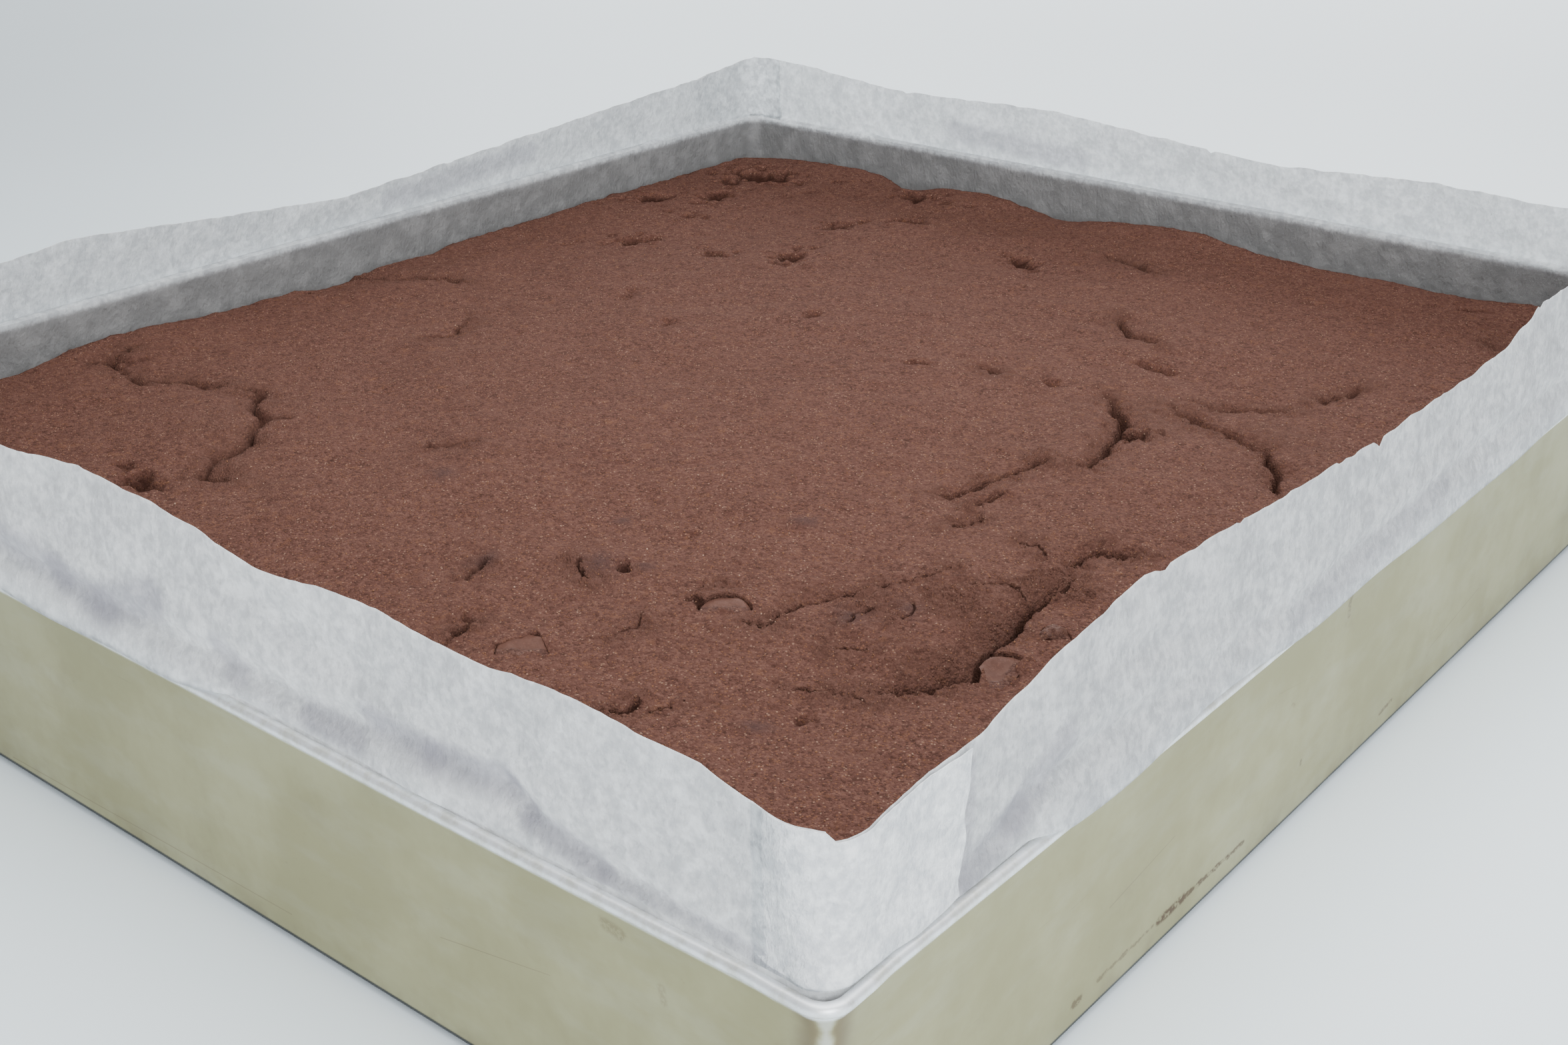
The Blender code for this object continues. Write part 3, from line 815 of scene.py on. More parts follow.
@dataclass(frozen=True)
class TableFinish:
    """Plain pale table top."""

    base: Colour = (0.82, 0.92, 0.975)

    def material(self) -> bpy.types.Material:
        """Build the material."""
        net = Network("pale_table")
        cloud = net.remap(net.noise(0.4, 2.0), 0.3, 0.7)
        tone = net.mix(cloud, self.base, tuple(0.97 * part for part in self.base))
        return net.finish(tone, 0.55)


def into_scene(name: str, data: bpy.types.ID) -> bpy.types.Object:
    """Make an object of a mesh, a light or a camera and link it into the scene."""
    made = bpy.data.objects.new(name, data)
    bpy.context.scene.collection.objects.link(made)
    return made


def to_mesh(name: str, bm: bmesh.types.BMesh) -> bpy.types.Mesh:
    """Turn a shape into a mesh, which uses the shape up."""
    mesh = bpy.data.meshes.new(name)
    bm.to_mesh(mesh)
    bm.free()
    return mesh


def make_piece(mesh: bpy.types.Mesh, material: bpy.types.Material, stands_for: str | None = None,
               sharp: float | None = None) -> None:
    """Make a finished piece and seat it in the frame.

    Args:
        mesh: its shape, whose name the piece takes.
        material: its finish.
        stands_for: the solid model's node that it replaces.
        sharp: angle in degrees past which an edge stays sharp, or None for none.
    """
    mesh.materials.append(material)
    mesh.shade_smooth()
    if sharp is not None:
        mesh.set_sharp_from_angle(angle=math.radians(sharp))
    made = into_scene(mesh.name, mesh)
    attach(made, "root")
    if stands_for:
        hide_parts(stands_for)
    mesh.calc_loop_triangles()
    log.info("%s: %d vertices, %d triangles", mesh.name, len(mesh.vertices), len(mesh.loop_triangles))


ON_RIM = 2.0                        # share that marks the tin's rolled rim


@dataclass
class Tin:
    """The folded baking tin with its rolled rim."""

    half_x: float = TIN_HALF.x - RIM_PROUD
    half_y: float = TIN_HALF.y - RIM_PROUD
    top: float = TIN_TOP
    corner_radius: float = 4 * MM
    foot_radius: float = 3 * MM
    rim_radius: float = 1.2 * MM
    knob: float = 0.55 * MM
    knob_reach: float = 3.2 * MM
    dent: float = 0.45 * MM
    dent_size: float = 55 * MM
    rim_wave: float = 0.5 * MM
    rim_wave_size: float = 70 * MM
    strip_edge: float = 4.2 * MM
    pitch: float = 5 * MM
    finish: TinFinish = field(default_factory=TinFinish)

    @property
    def outline(self) -> RoundedOutline:
        """The walls' outline."""
        return RoundedOutline(self.half_x, self.half_y, self.corner_radius)

    def build(self) -> RisingWall:
        """Raise the tin's outside, roll its rim and bring the wall back down inside."""
        wall = RisingWall(self.outline, self.pitch, 12)
        wall.start(-self.foot_radius, 0.0)
        for degrees in (20, 40, 60, 75, 90):
            a = math.radians(degrees)
            wall.ring(-self.foot_radius * (1 - math.sin(a)), self.foot_radius * (1 - math.cos(a)))
        wall_height = self.top - 2 * self.rim_radius - self.foot_radius
        for share in (0.2, 0.4, 0.6, 0.8, 0.93):
            wall.ring(0.0, self.foot_radius + share * wall_height, share)
        centre_out, centre_z, r = self.rim_radius - SHEET, self.top - self.rim_radius, self.rim_radius
        for degrees in range(-80, 216, 18):
            a = math.radians(degrees)
            wall.ring(centre_out + r * math.cos(a), centre_z + r * math.sin(a), ON_RIM)
        inner = self.foot_radius - SHEET
        for height in (self.top * 0.6, self.top * 0.3):
            wall.ring(-SHEET, height)
        for degrees in (0, 30, 60, 90):
            a = math.radians(degrees)
            wall.ring(-SHEET - inner * (1 - math.cos(a)), SHEET + inner * (1 - math.sin(a)))
        wall.close()
        wall.reshape(self.wear)
        return wall

    def wear(self, places: Array, normals: Array, heights: Array, shares: Array) -> tuple[Array, Array]:
        """Slight dents in the walls, a knob where the rims meet and a raised strip down each corner."""
        on_rim = shares == ON_RIM
        body = np.where(on_rim, 0.0, np.sin(np.pi * np.clip(shares, 0, 1)))
        points = np.column_stack((places, heights))
        from_corner = self.outline.from_corner(places)
        knob = bell(from_corner, self.knob_reach) * on_rim
        out = self.dent * wobble(points, self.dent_size, 2.0) * body + self.knob * knob
        out += self.rim_wave * wobble(places, self.rim_wave_size, 5.0) * on_rim * (from_corner > 12 * MM)
        out -= 0.28 * MM * bell(from_corner - self.strip_edge, 1.1 * MM) * body**0.4
        return out[:, None] * normals, heights + 0.2 * MM * knob

    def dress(self) -> None:
        """Make the tin's piece."""
        make_piece(to_mesh("tin_shell", self.build().bm), self.finish.material(), "tin", sharp=50.0)


@dataclass(frozen=True)
class Crease:
    """A fold line in the free part of the parchment, in millimetres along its side and above the rim."""

    side: Side
    width: float
    depth: float
    path: tuple[Place, ...]


CREASES = (
    Crease(Side.FRONT, 2.6, 2.1, ((-175, 8), (-100, 9), (-38, 8), (2, 7), (40, 7), (65, 5.5), (80, 7.5),
                                  (93, 8.2), (109, 9.5), (114, 7.5))),
    Crease(Side.FRONT, 2.0, 1.82, ((108, 10), (115, 6.4), (130, 3), (149, 2.2), (166, 2.0))),
    Crease(Side.FRONT, 5.0, 0.98, ((18, 11), (21, 15))),
    Crease(Side.FRONT, 5.0, -0.98, ((82, 3.5), (100, 4))),
    Crease(Side.FRONT, 3.5, 0.7, ((-160, 20), (-90, 15), (-40, 22))),
    Crease(Side.FRONT, 4.0, 0.7, ((40, 24), (70, 17), (96, 14))),
    Crease(Side.RIGHT, 2.2, 1.68, ((-168, 3.5), (-157, 5), (-150, 9), (-137, 10.5), (-110, 9))),
    Crease(Side.RIGHT, 2.4, 1.26, ((-110, 9), (-60, 7), (0, 8), (60, 9), (120, 7))),
    Crease(Side.RIGHT, 3.0, 0.84, ((-130, 24), (-100, 16), (-70, 14))),
    Crease(Side.RIGHT, 3.0, 0.84, ((-40, 20), (-10, 15), (30, 20))),
    Crease(Side.BACK, 4.0, 0.8, ((-130, 5), (-100, 14), (-60, 9), (-40, 3))),
    Crease(Side.BACK, 4.0, 0.6, ((20, 15), (60, 8), (90, 3))),
    Crease(Side.LEFT, 4.0, 0.8, ((-140, 4), (-118, 12), (-90, 6), (-70, 2))),
    Crease(Side.LEFT, 4.0, 0.6, ((40, 11), (90, 5), (140, 12))),
)


@dataclass(frozen=True)
class Nick:
    """A small tear in the parchment's top edge, in millimetres."""

    side: Side
    along: float
    width: float
    depth: float


NICKS = (
    Nick(Side.RIGHT, -24.5, 1.6, 2.4), Nick(Side.RIGHT, -108, 1.5, 1.2), Nick(Side.RIGHT, -82, 1.2, 0.8),
    Nick(Side.RIGHT, -44, 1.6, 1.0), Nick(Side.RIGHT, 61, 1.4, 1.0),
    Nick(Side.FRONT, -62, 1.5, 0.8), Nick(Side.BACK, 20, 1.5, 1.0), Nick(Side.BACK, -101, 1.5, 1.2),
    Nick(Side.LEFT, 44, 1.5, 1.0), Nick(Side.LEFT, -126, 1.5, 0.8),
)


@dataclass
class Parchment:
    """One sheet of parchment: flat under the cake, up the walls and free above the rim.

    Attributes:
        belly_over: places along each side, in millimetres, between which the sheet hangs out over the rim:
            where it begins, is full, is still full and ends.
        edges: height of the torn edge above the rim, as (place along the side, height) in millimetres.
        fold_off: how far a flap stands off the sheet at distances from its corner, in millimetres.
        over_rim: how far out the lowest part of the free sheet lies, step by step, in millimetres.
        up_from_rim: how far above the rim it lies there, in millimetres.
    """

    half_x: float = TIN_HALF.x - RIM_PROUD - SHEET - GAP
    half_y: float = TIN_HALF.y - RIM_PROUD - SHEET - GAP
    corner_radius: float = 5 * MM
    opened_radius: float = 9.5 * MM
    thickness: float = 0.16 * MM
    foot: float = 3 * MM
    floor: float = SHEET + GAP
    pitch: float = 1.6 * MM
    rise_steps: int = 20
    fold_back: float = 12 * MM
    fold_reach: float = 29.5 * MM
    fold_steps: tuple[int, int] = (34, 16)
    fold_off: tuple[tuple[float, ...], ...] = ((-12, -8, 0, 20, 30), (-0.12, 0.1, 0.3, 0.45, 0.9))
    over_rim: tuple[float, ...] = (0.0, 0.9, 1.8, 2.6, 3.0, 3.1, 2.9)
    up_from_rim: tuple[float, ...] = (0.2, 0.5, 0.5, 0.0, -0.5, 0.5, 2.4)
    lean_out: float = 1.35 * MM
    corner_lean: float = 1.6 * MM
    belly_over: dict[Side, tuple[float, float, float, float]] = field(default_factory=lambda: {
        Side.FRONT: (-130, -105, 22, 66), Side.RIGHT: (-160, -138, 130, 156),
        Side.BACK: (-130, -105, 105, 130), Side.LEFT: (-156, -130, 130, 156)})
    edges: dict[Side, tuple[Place, ...]] = field(default_factory=lambda: {
        Side.FRONT: ((-175, 23), (-140, 28), (-90, 31.5), (-45, 31), (-25, 30.4), (-2, 32.6), (17, 32.3),
                     (39, 30.3), (52, 28.1), (68, 29.7), (82, 30.2), (107, 29.4), (118, 30.9), (134, 31.2),
                     (152, 28.3), (163, 26.2), (166.5, 27.4), (170, 26.0), (175, 24.2)),
        Side.RIGHT: ((-200, 24.2), (-194, 24.0), (-187, 24.4), (-180, 25.8), (-163, 25.7), (-149, 28.1),
                     (-139, 30.7), (-125, 32), (-110, 32.6), (-107, 31.6), (-90, 31.2), (-83, 30.4),
                     (-64, 30.3), (-49, 30.2), (-29, 27.8), (-12, 27.6), (15, 27), (38, 27.4), (52, 31),
                     (65, 33), (85, 32.6), (130, 29.5), (200, 22.5)),
        Side.BACK: ((-175, 23), (-146, 22.5), (-108, 18.5), (-42, 21), (40, 15.5), (95, 18.5), (133, 17.5),
                    (175, 23)),
        Side.LEFT: ((-200, 25), (-150, 19), (-112, 17), (-92, 19), (-48, 14.5), (0, 10.5), (60, 13.5),
                    (165, 19.5), (200, 23))})
    finish: ParchmentFinish = field(default_factory=ParchmentFinish)

    @property
    def outline(self) -> RoundedOutline:
        """The sheet's outline where it stands against the tin."""
        return RoundedOutline(self.half_x, self.half_y, self.corner_radius)

    def runs(self, places: Array) -> list[tuple[Side, Array, Array]]:
        """For each wall: the side, which places are on it and how far along it they are."""
        across = np.abs(places[:, 0]) / TIN_HALF.x > np.abs(places[:, 1]) / TIN_HALF.y
        on_wall = {
            Side.FRONT: ~across & (places[:, 1] < 0), Side.RIGHT: across & (places[:, 0] > 0),
            Side.BACK: ~across & (places[:, 1] >= 0), Side.LEFT: across & (places[:, 0] <= 0)}
        return [(side, here, places[here][:, 1 if side.value[0] else 0]) for side, here in on_wall.items()]

    def edge(self, places: Array) -> Array:
        """Height of the torn edge above the rim."""
        height = np.zeros(len(places))
        for side, here, run in self.runs(places):
            height[here] = read_heights(self.edges[side], run)
            for nick in (nick for nick in NICKS if nick.side is side):
                off = np.abs(run - nick.along * MM) / (nick.width * MM)
                height[here] -= nick.depth * MM * np.clip(1.0 - off, 0.0, 1.0)
        return height + 0.5 * MM * wobble(places, 7 * MM, 9.0) + 0.25 * MM * wobble(places, 2.6 * MM, 11.0)

    def belly(self, places: Array) -> Array:
        """How much the paper hangs out over the rim: nothing at the corners, all along the sides."""
        weight = np.zeros(len(places))
        for side, here, run in self.runs(places):
            low, low_full, high_full, high = (mark * MM for mark in self.belly_over[side])
            weight[here] = ease(low, low_full, run) * ease(high, high_full, run)
        return weight * (1.05 + 0.25 * wobble(places, 38 * MM, 4.0))

    def hang(self, places: Array, normals: Array, shares: Array) -> tuple[Array, Array]:
        """Where the free part of the sheet hangs.

        Args:
            places: rows of x and y on the sheet's outline.
            normals: outward directions there.
            shares: how far up the free part each vertex is, from 0 to 1.

        Returns:
            The shift in x and y, and the height above the rim.
        """
        edge = self.edge(places)
        belly = self.belly(places)
        rise = shares**1.15 * edge

        # over the rim: out on top of it, down a little outside it and up again
        steps = np.linspace(0.0, 6.0 / self.rise_steps, len(self.over_rim))
        start = steps[-1]
        last_out, last_up = self.over_rim[-1] * MM, self.up_from_rim[-1] * MM
        above = np.clip((shares - start) / (1 - start), 0, 1)
        low = shares < start
        hang_rise = np.where(low, np.interp(shares, steps, self.up_from_rim) * MM,
                             last_up + (edge - last_up) * above)
        hang_out = np.where(low, np.interp(shares, steps, self.over_rim) * MM,
                            last_out * ease(1.35, -0.1, above))
        rise = rise + (hang_rise - rise) * belly
        out = hang_out * belly

        # slow waves that grow towards the torn edge
        sheet = np.column_stack((places, rise))
        out += (2.4 * wobble(places, 70 * MM) - 0.6) * rise / (30 * MM) * MM
        for depth, size, layer, full_at in ((0.9, 26, 3.0, 8), (0.5, 9, 6.0, 5)):
            out += depth * MM * wobble(sheet, size * MM, layer) * ease(0, full_at * MM, rise)

        # creases
        for side, here, run in self.runs(places):
            plane = np.column_stack((run, rise[here]))
            for crease in (crease for crease in CREASES if crease.side is side):
                distance, share, _ = along_path(plane, np.array(crease.path) * MM)
                fade = np.sqrt(np.sin(np.pi * np.clip(share, 0.06, 0.94)))
                fold = crease.depth * MM * fade * bell(distance, crease.width * MM)
                out[here] -= fold * (rise[here] > 0.2 * MM)

        # corners open into a cone that leans out towards the top
        radii = self.corner_radius + (self.opened_radius - self.corner_radius) * ease(0, 22 * MM, rise)
        near_corner = bell(self.outline.from_corner(places), 14 * MM)
        out += self.corner_lean * near_corner * ease(4 * MM, 28 * MM, rise)

        # the sheet leans out over the rim
        lean = ease(0, 0.8 * MM, rise) * (0.4 + 0.6 * ease(10 * MM, 1.5 * MM, rise))
        out += self.lean_out * lean * (1 - belly)
        return out[:, None] * normals + self.outline.widened(places, radii), rise

    def drape(self, places: Array, normals: Array, heights: Array, shares: Array) -> tuple[Array, Array]:
        """Hang the free part of the sheet and leave the rest against the tin."""
        free = shares > 0
        shift, rise = self.hang(places, normals, shares)
        return np.where(free[:, None], shift, 0.0), np.where(free, TIN_TOP + rise, heights)

    def build(self) -> RisingWall:
        """Raise the sheet's outer face to its torn edge and bring the inner face back down."""
        wall = RisingWall(self.outline, self.pitch, 8)
        wall.start(-self.foot, self.floor)
        outer = [(-0.3 * self.foot, 0.3 * self.foot + self.floor, 0.0)]
        outer += [(0.0, height, 0.0) for height in (
            self.floor + self.foot, TIN_TOP - 14 * MM, TIN_TOP - 3 * MM, TIN_TOP)]
        outer += [(0.0, TIN_TOP, (step + 1) / self.rise_steps) for step in range(self.rise_steps)]
        for outward, height, share in outer:
            wall.ring(outward, height, share)
        for outward, height, share in reversed(outer):
            wall.ring(outward - self.thickness, height, share)
        wall.ring(-self.foot - self.thickness, self.floor + self.thickness, 0.0)
        wall.close()
        wall.reshape(self.drape)
        return wall

    def folds(self, corners: tuple[tuple[int, int], ...]) -> bmesh.types.BMesh:
        """Model the flaps where the sheet is folded round a corner onto the long side.

        Args:
            corners: the signs of x and y at each corner.

        Returns:
            A mesh with one flap a corner.
        """
        bm = bmesh.new()
        for corner in corners:
            columns, rows = self.fold_steps
            verts = bmesh.ops.create_grid(bm, x_segments=columns, y_segments=rows, size=1.0)["verts"]
            grid = np.array([vert.co.xy for vert in verts])
            ragged = wobble(grid * (0, 1) + corner, 0.5) * MM
            run = np.interp(grid[:, 0], (-1, 1), (-self.fold_back, self.fold_reach))
            run += (1.6 * ragged + 1.2 * MM * grid[:, 1]) * ease(0.4, 1.0, grid[:, 0])
            low = 0.02 + 0.08 * ease(10 * MM, 32 * MM, run)
            high = 0.998 - 0.006 * ease(-12 * MM, 34 * MM, run)
            shares = low + (high - low) * (grid[:, 1] + 1) / 2
            places, normals = self.outline.round_corner(corner, run)
            shift, rise = self.hang(places, normals, shares)
            off = np.interp(run, *(MM * np.array(self.fold_off)))
            move_verts(verts, places + shift + off[:, None] * normals, TIN_TOP + rise)
        bmesh.ops.recalc_face_normals(bm, faces=bm.faces)
        bmesh.ops.solidify(bm, geom=list(bm.faces), thickness=self.thickness)
        bmesh.ops.recalc_face_normals(bm, faces=bm.faces)
        return bm

    def dress(self) -> None:
        """Make the parchment's pieces."""
        doubled = ParchmentFinish("doubled_parchment", marked=False, see_through=0.2)
        # painted light: the far flaps, though doubled, get a paler, wholly see-through copy of the parchment
        # so that they glow in the light from behind
        backlit = ParchmentFinish("backlit_parchment", marked=False, see_through=1.0,
                                  through=(0.97, 0.98, 0.985))
        near, far = self.folds(((1, -1),)), self.folds(((1, 1), (-1, 1), (-1, -1)))
        for name, bm, finish, node in (
                ("parchment", self.build().bm, self.finish, "lining"),
                ("parchment_near_fold", near, doubled, None), ("parchment_far_folds", far, backlit, None)):
            make_piece(to_mesh(name, bm), finish.material(), node, sharp=60.0)


@dataclass(frozen=True)
class Crack:
    """A crack in the cake's top, in millimetres: a sheer cut between two rolled banks.

    Attributes:
        width: from which the cut's width and that of ordinary banks follow.
        depth: how deep it is.
        path: the places that it runs through.
        left: width of the bank on the path's left, or 0 for an ordinary one.
        right: width of the bank on its right, or 0 for an ordinary one.
        ragged: how far it strays from its path and varies in width.
    """

    width: float
    depth: float
    path: tuple[Place, ...]
    left: float = 0.0
    right: float = 0.0
    ragged: float = 1.0

    @property
    def cut(self) -> float:
        """Half width of the sheer cut."""
        return 0.2 * self.width * MM

    def banks(self, side: Array) -> Array:
        """Width of the bank at places on the left (1) or right (-1) of the path."""
        usual = 0.45 * self.width
        return np.where(side > 0, self.left or usual, self.right or usual) * MM


@dataclass(frozen=True)
class Spot:
    """A round feature of the cake's top, in millimetres."""

    x: float
    y: float
    radius: float
    height: float

    def away(self, points: Array) -> Array:
        """Distance from places to the spot's middle."""
        return np.hypot(points[:, 0] - self.x * MM, points[:, 1] - self.y * MM)


# Cracks: the three that show best, then the others as width, depth and path
CRACKS = (
    Crack(3.8, 8.0, ((116, -110), (119.7, -106.8), (122, -102), (123.5, -96), (126.2, -92.5), (124.8, -89.2),
                     (124, -85), (124, -81.5), (123.6, -77), (123, -73), (121.6, -70.3), (121, -67.5),
                     (120.3, -61), (120, -55), (120.5, -51.5), (119.3, -45.5)), 4.2, 0.4, 0.35),
    Crack(3.4, 6.5, ((116.4, -43.5), (115.6, -38.8), (116.4, -35.4), (117.2, -32.2), (118.8, -31.2),
                     (121.3, -31.8), (122.6, -29.2), (126.5, -27.5)), 2.0, 0.4, 0.35),
    Crack(1.5, 3.0, ((79, -106), (84, -103), (83, -98), (84, -91), (91, -81)), 1.6, 0.4, 0.6),
) + tuple(Crack(width, depth, path) for width, depth, *path in (
    (2.4, 4.0, (72, -29), (77, -26), (77, -18), (82, 4)),
    (2.0, 3.0, (82, -30), (83, -20)),
    (2.0, 3.5, (84, -42), (89, -34)),
    (3.4, 6.0, (69, 53), (75, 47), (83, 37), (88, 25), (92, 6), (88, 3)),
    (2.4, 3.5, (88, 25), (94, 32)),
    (3.0, 5.0, (86, 54), (96, 50), (101, 47), (107, 47), (113, 44), (119, 42), (126, 35), (134, 19)),
    (2.2, 3.5, (92, 61), (96, 60), (104, 67), (113, 73)),
    (2.4, 4.0, (115, 81), (120, 97)),
    (2.6, 3.5, (42, 105), (52, 93), (65, 91)),
    (2.6, 3.0, (5, 159), (19, 155), (31, 149)),
    (2.6, 3.5, (131, 158), (137, 148)),
    (3.0, 5.5, (-112, -90), (-104, -86.5), (-86, -99), (-77.5, -109), (-76, -118), (-71, -127), (-58, -125)),
    (2.6, 3.6, (-146, -100), (-134, -101), (-127, -93), (-112, -90)),
    (1.6, 2.0, (-86, -99), (-80, -92)),
    (2.2, 3.0, (-161, -83), (-153, -98), (-138, -100)),
    (3.4, 5.0, (-172, -8), (-166, -2), (-153, -1), (-147, 6.5), (-130, 12)),
    (2.0, 2.5, (-100, -34), (-99, -22), (-105, -10)),
    (1.8, 2.5, (-38, -87), (-30, -78)),
    (1.8, 2.5, (38, -150), (37, -145), (34, -138), (31, -137)),
    (1.8, 2.5, (22, -128), (19, -118)),
    (2.0, 2.8, (80, -148), (82, -145), (84, -143), (83, -139)),
    (1.4, 1.6, (86, -141), (89, -137)),
    (2.4, 3.0, (32, 46), (43, 46)),
    # hair cracks round the front corner
    (1.4, 2.0, (34, -106), (37, -110), (43, -112)),
    (1.0, 1.2, (98, -95), (96, -90), (98, -86)),
    (1.0, 1.1, (106, -66), (112, -59), (119, -62)),
    (1.0, 1.0, (102, -119), (108, -114), (117, -113)),
    (0.7, 0.7, (91, -80), (97, -69), (100, -61)),
    (0.9, 1.0, (113, -45), (107, -39), (101, -40)),
    (0.9, 0.9, (60, -114), (64, -120), (63, -126)),
    (0.9, 0.9, (100, -103), (106, -100)),
    (1.0, 1.2, (103, -80), (105, -84), (103, -87)),
))

# Patches where the top has broken up into loose lumps; the height is how thoroughly
CRUMBLY = tuple(Spot(*numbers) for numbers in (
    (109, -78, 16, 0.9), (68, -99, 8, 0.8), (120, -52, 10, 1.0), (128, -97, 6, 0.8), (45, -105, 6, 0.6),
    (84, 42, 20, 0.8), (118, 50, 16, 0.7), (-85, -107, 18, 0.6), (79, -20, 12, 0.6), (-150, 0, 14, 0.6),
))

# Places where the top swells, or sinks where the height is below nothing
SWELLS = tuple(Spot(*numbers) for numbers in (
    (104, -72, 22, 2.6), (112, -94, 12, 1.2), (136, -78, 14, -1.4), (112, 4, 26, 1.8), (70, -100, 16, 0.8),
    (38, -103, 9, 1.2), (-172, -86, 26, 3.0), (-172, -12, 10, -2.5), (-100, -108, 20, 1.2),
    (-94, 198, 9, -4.5), (-31, 198, 9, -3.5), (-172, 197, 12, -3.5), (8, 196, 24, 3.2), (-62, 196, 18, 1.4),
    (-125, 190, 20, 1.4), (133, 196, 20, 2.4), (0, -60, 60, 1.4), (-60, 60, 50, 1.0), (60, 120, 40, 1.0),
))

# Pits; the height is how deep
PITS = tuple(Spot(*numbers) for numbers in (
    (-142, 166, 13, 7), (-146, 153, 7, 4), (-136, 133, 8, 5), (-153, 118, 8, 5), (-82, 177, 8, 5),
    (-9, 134, 7, 4.5), (-68, 90, 7.5, 5.5), (-78, 129, 6.5, 4.5), (-63, 148, 6.5, 4.5), (-90, 78, 5, 3.5),
    (-126, 108, 5, 3.5), (-26, 50, 3, 2.5), (20, 36, 3, 2.5), (54, 49, 3, 2.5), (-80, 30, 3, 2),
    (-54, 18, 3, 2), (-121, 75, 7, 4.5), (71, 75, 4, 3), (116, 180, 4, 3), (-168, -8, 6, 4.5),
    (-155, -98, 5, 3.5), (-79, -139, 6, 4), (-88, -136, 3, 2), (110, -125, 2.5, 2.5), (45, -82, 2.5, 2),
    (89, 30, 4, 5),
    (67.8, -105.5, 3.0, 4.5), (44, -102.5, 3, 3), (131.6, -86.3, 1.4, 2.4), (118.5, -105.5, 2.2, 2.5),
    (122.5, -97, 2.0, 2.5),
))

# Bumps where chocolate lies just under the crumb, or shows through it
BUMPS = tuple(Spot(*numbers) for numbers in (
    (96, -92, 4.2, 0.8), (104, -83.5, 3.4, 0.8), (106, -133, 3.0, 0.6), (19, -119, 3.4, 0.8),
    (48, -101, 2.4, 0.8), (40, -106, 5.0, 0.6), (-20, -96, 3.4, 0.5), (60, -62, 3.0, 0.4),
    (28, -86, 2.6, 0.4),
))


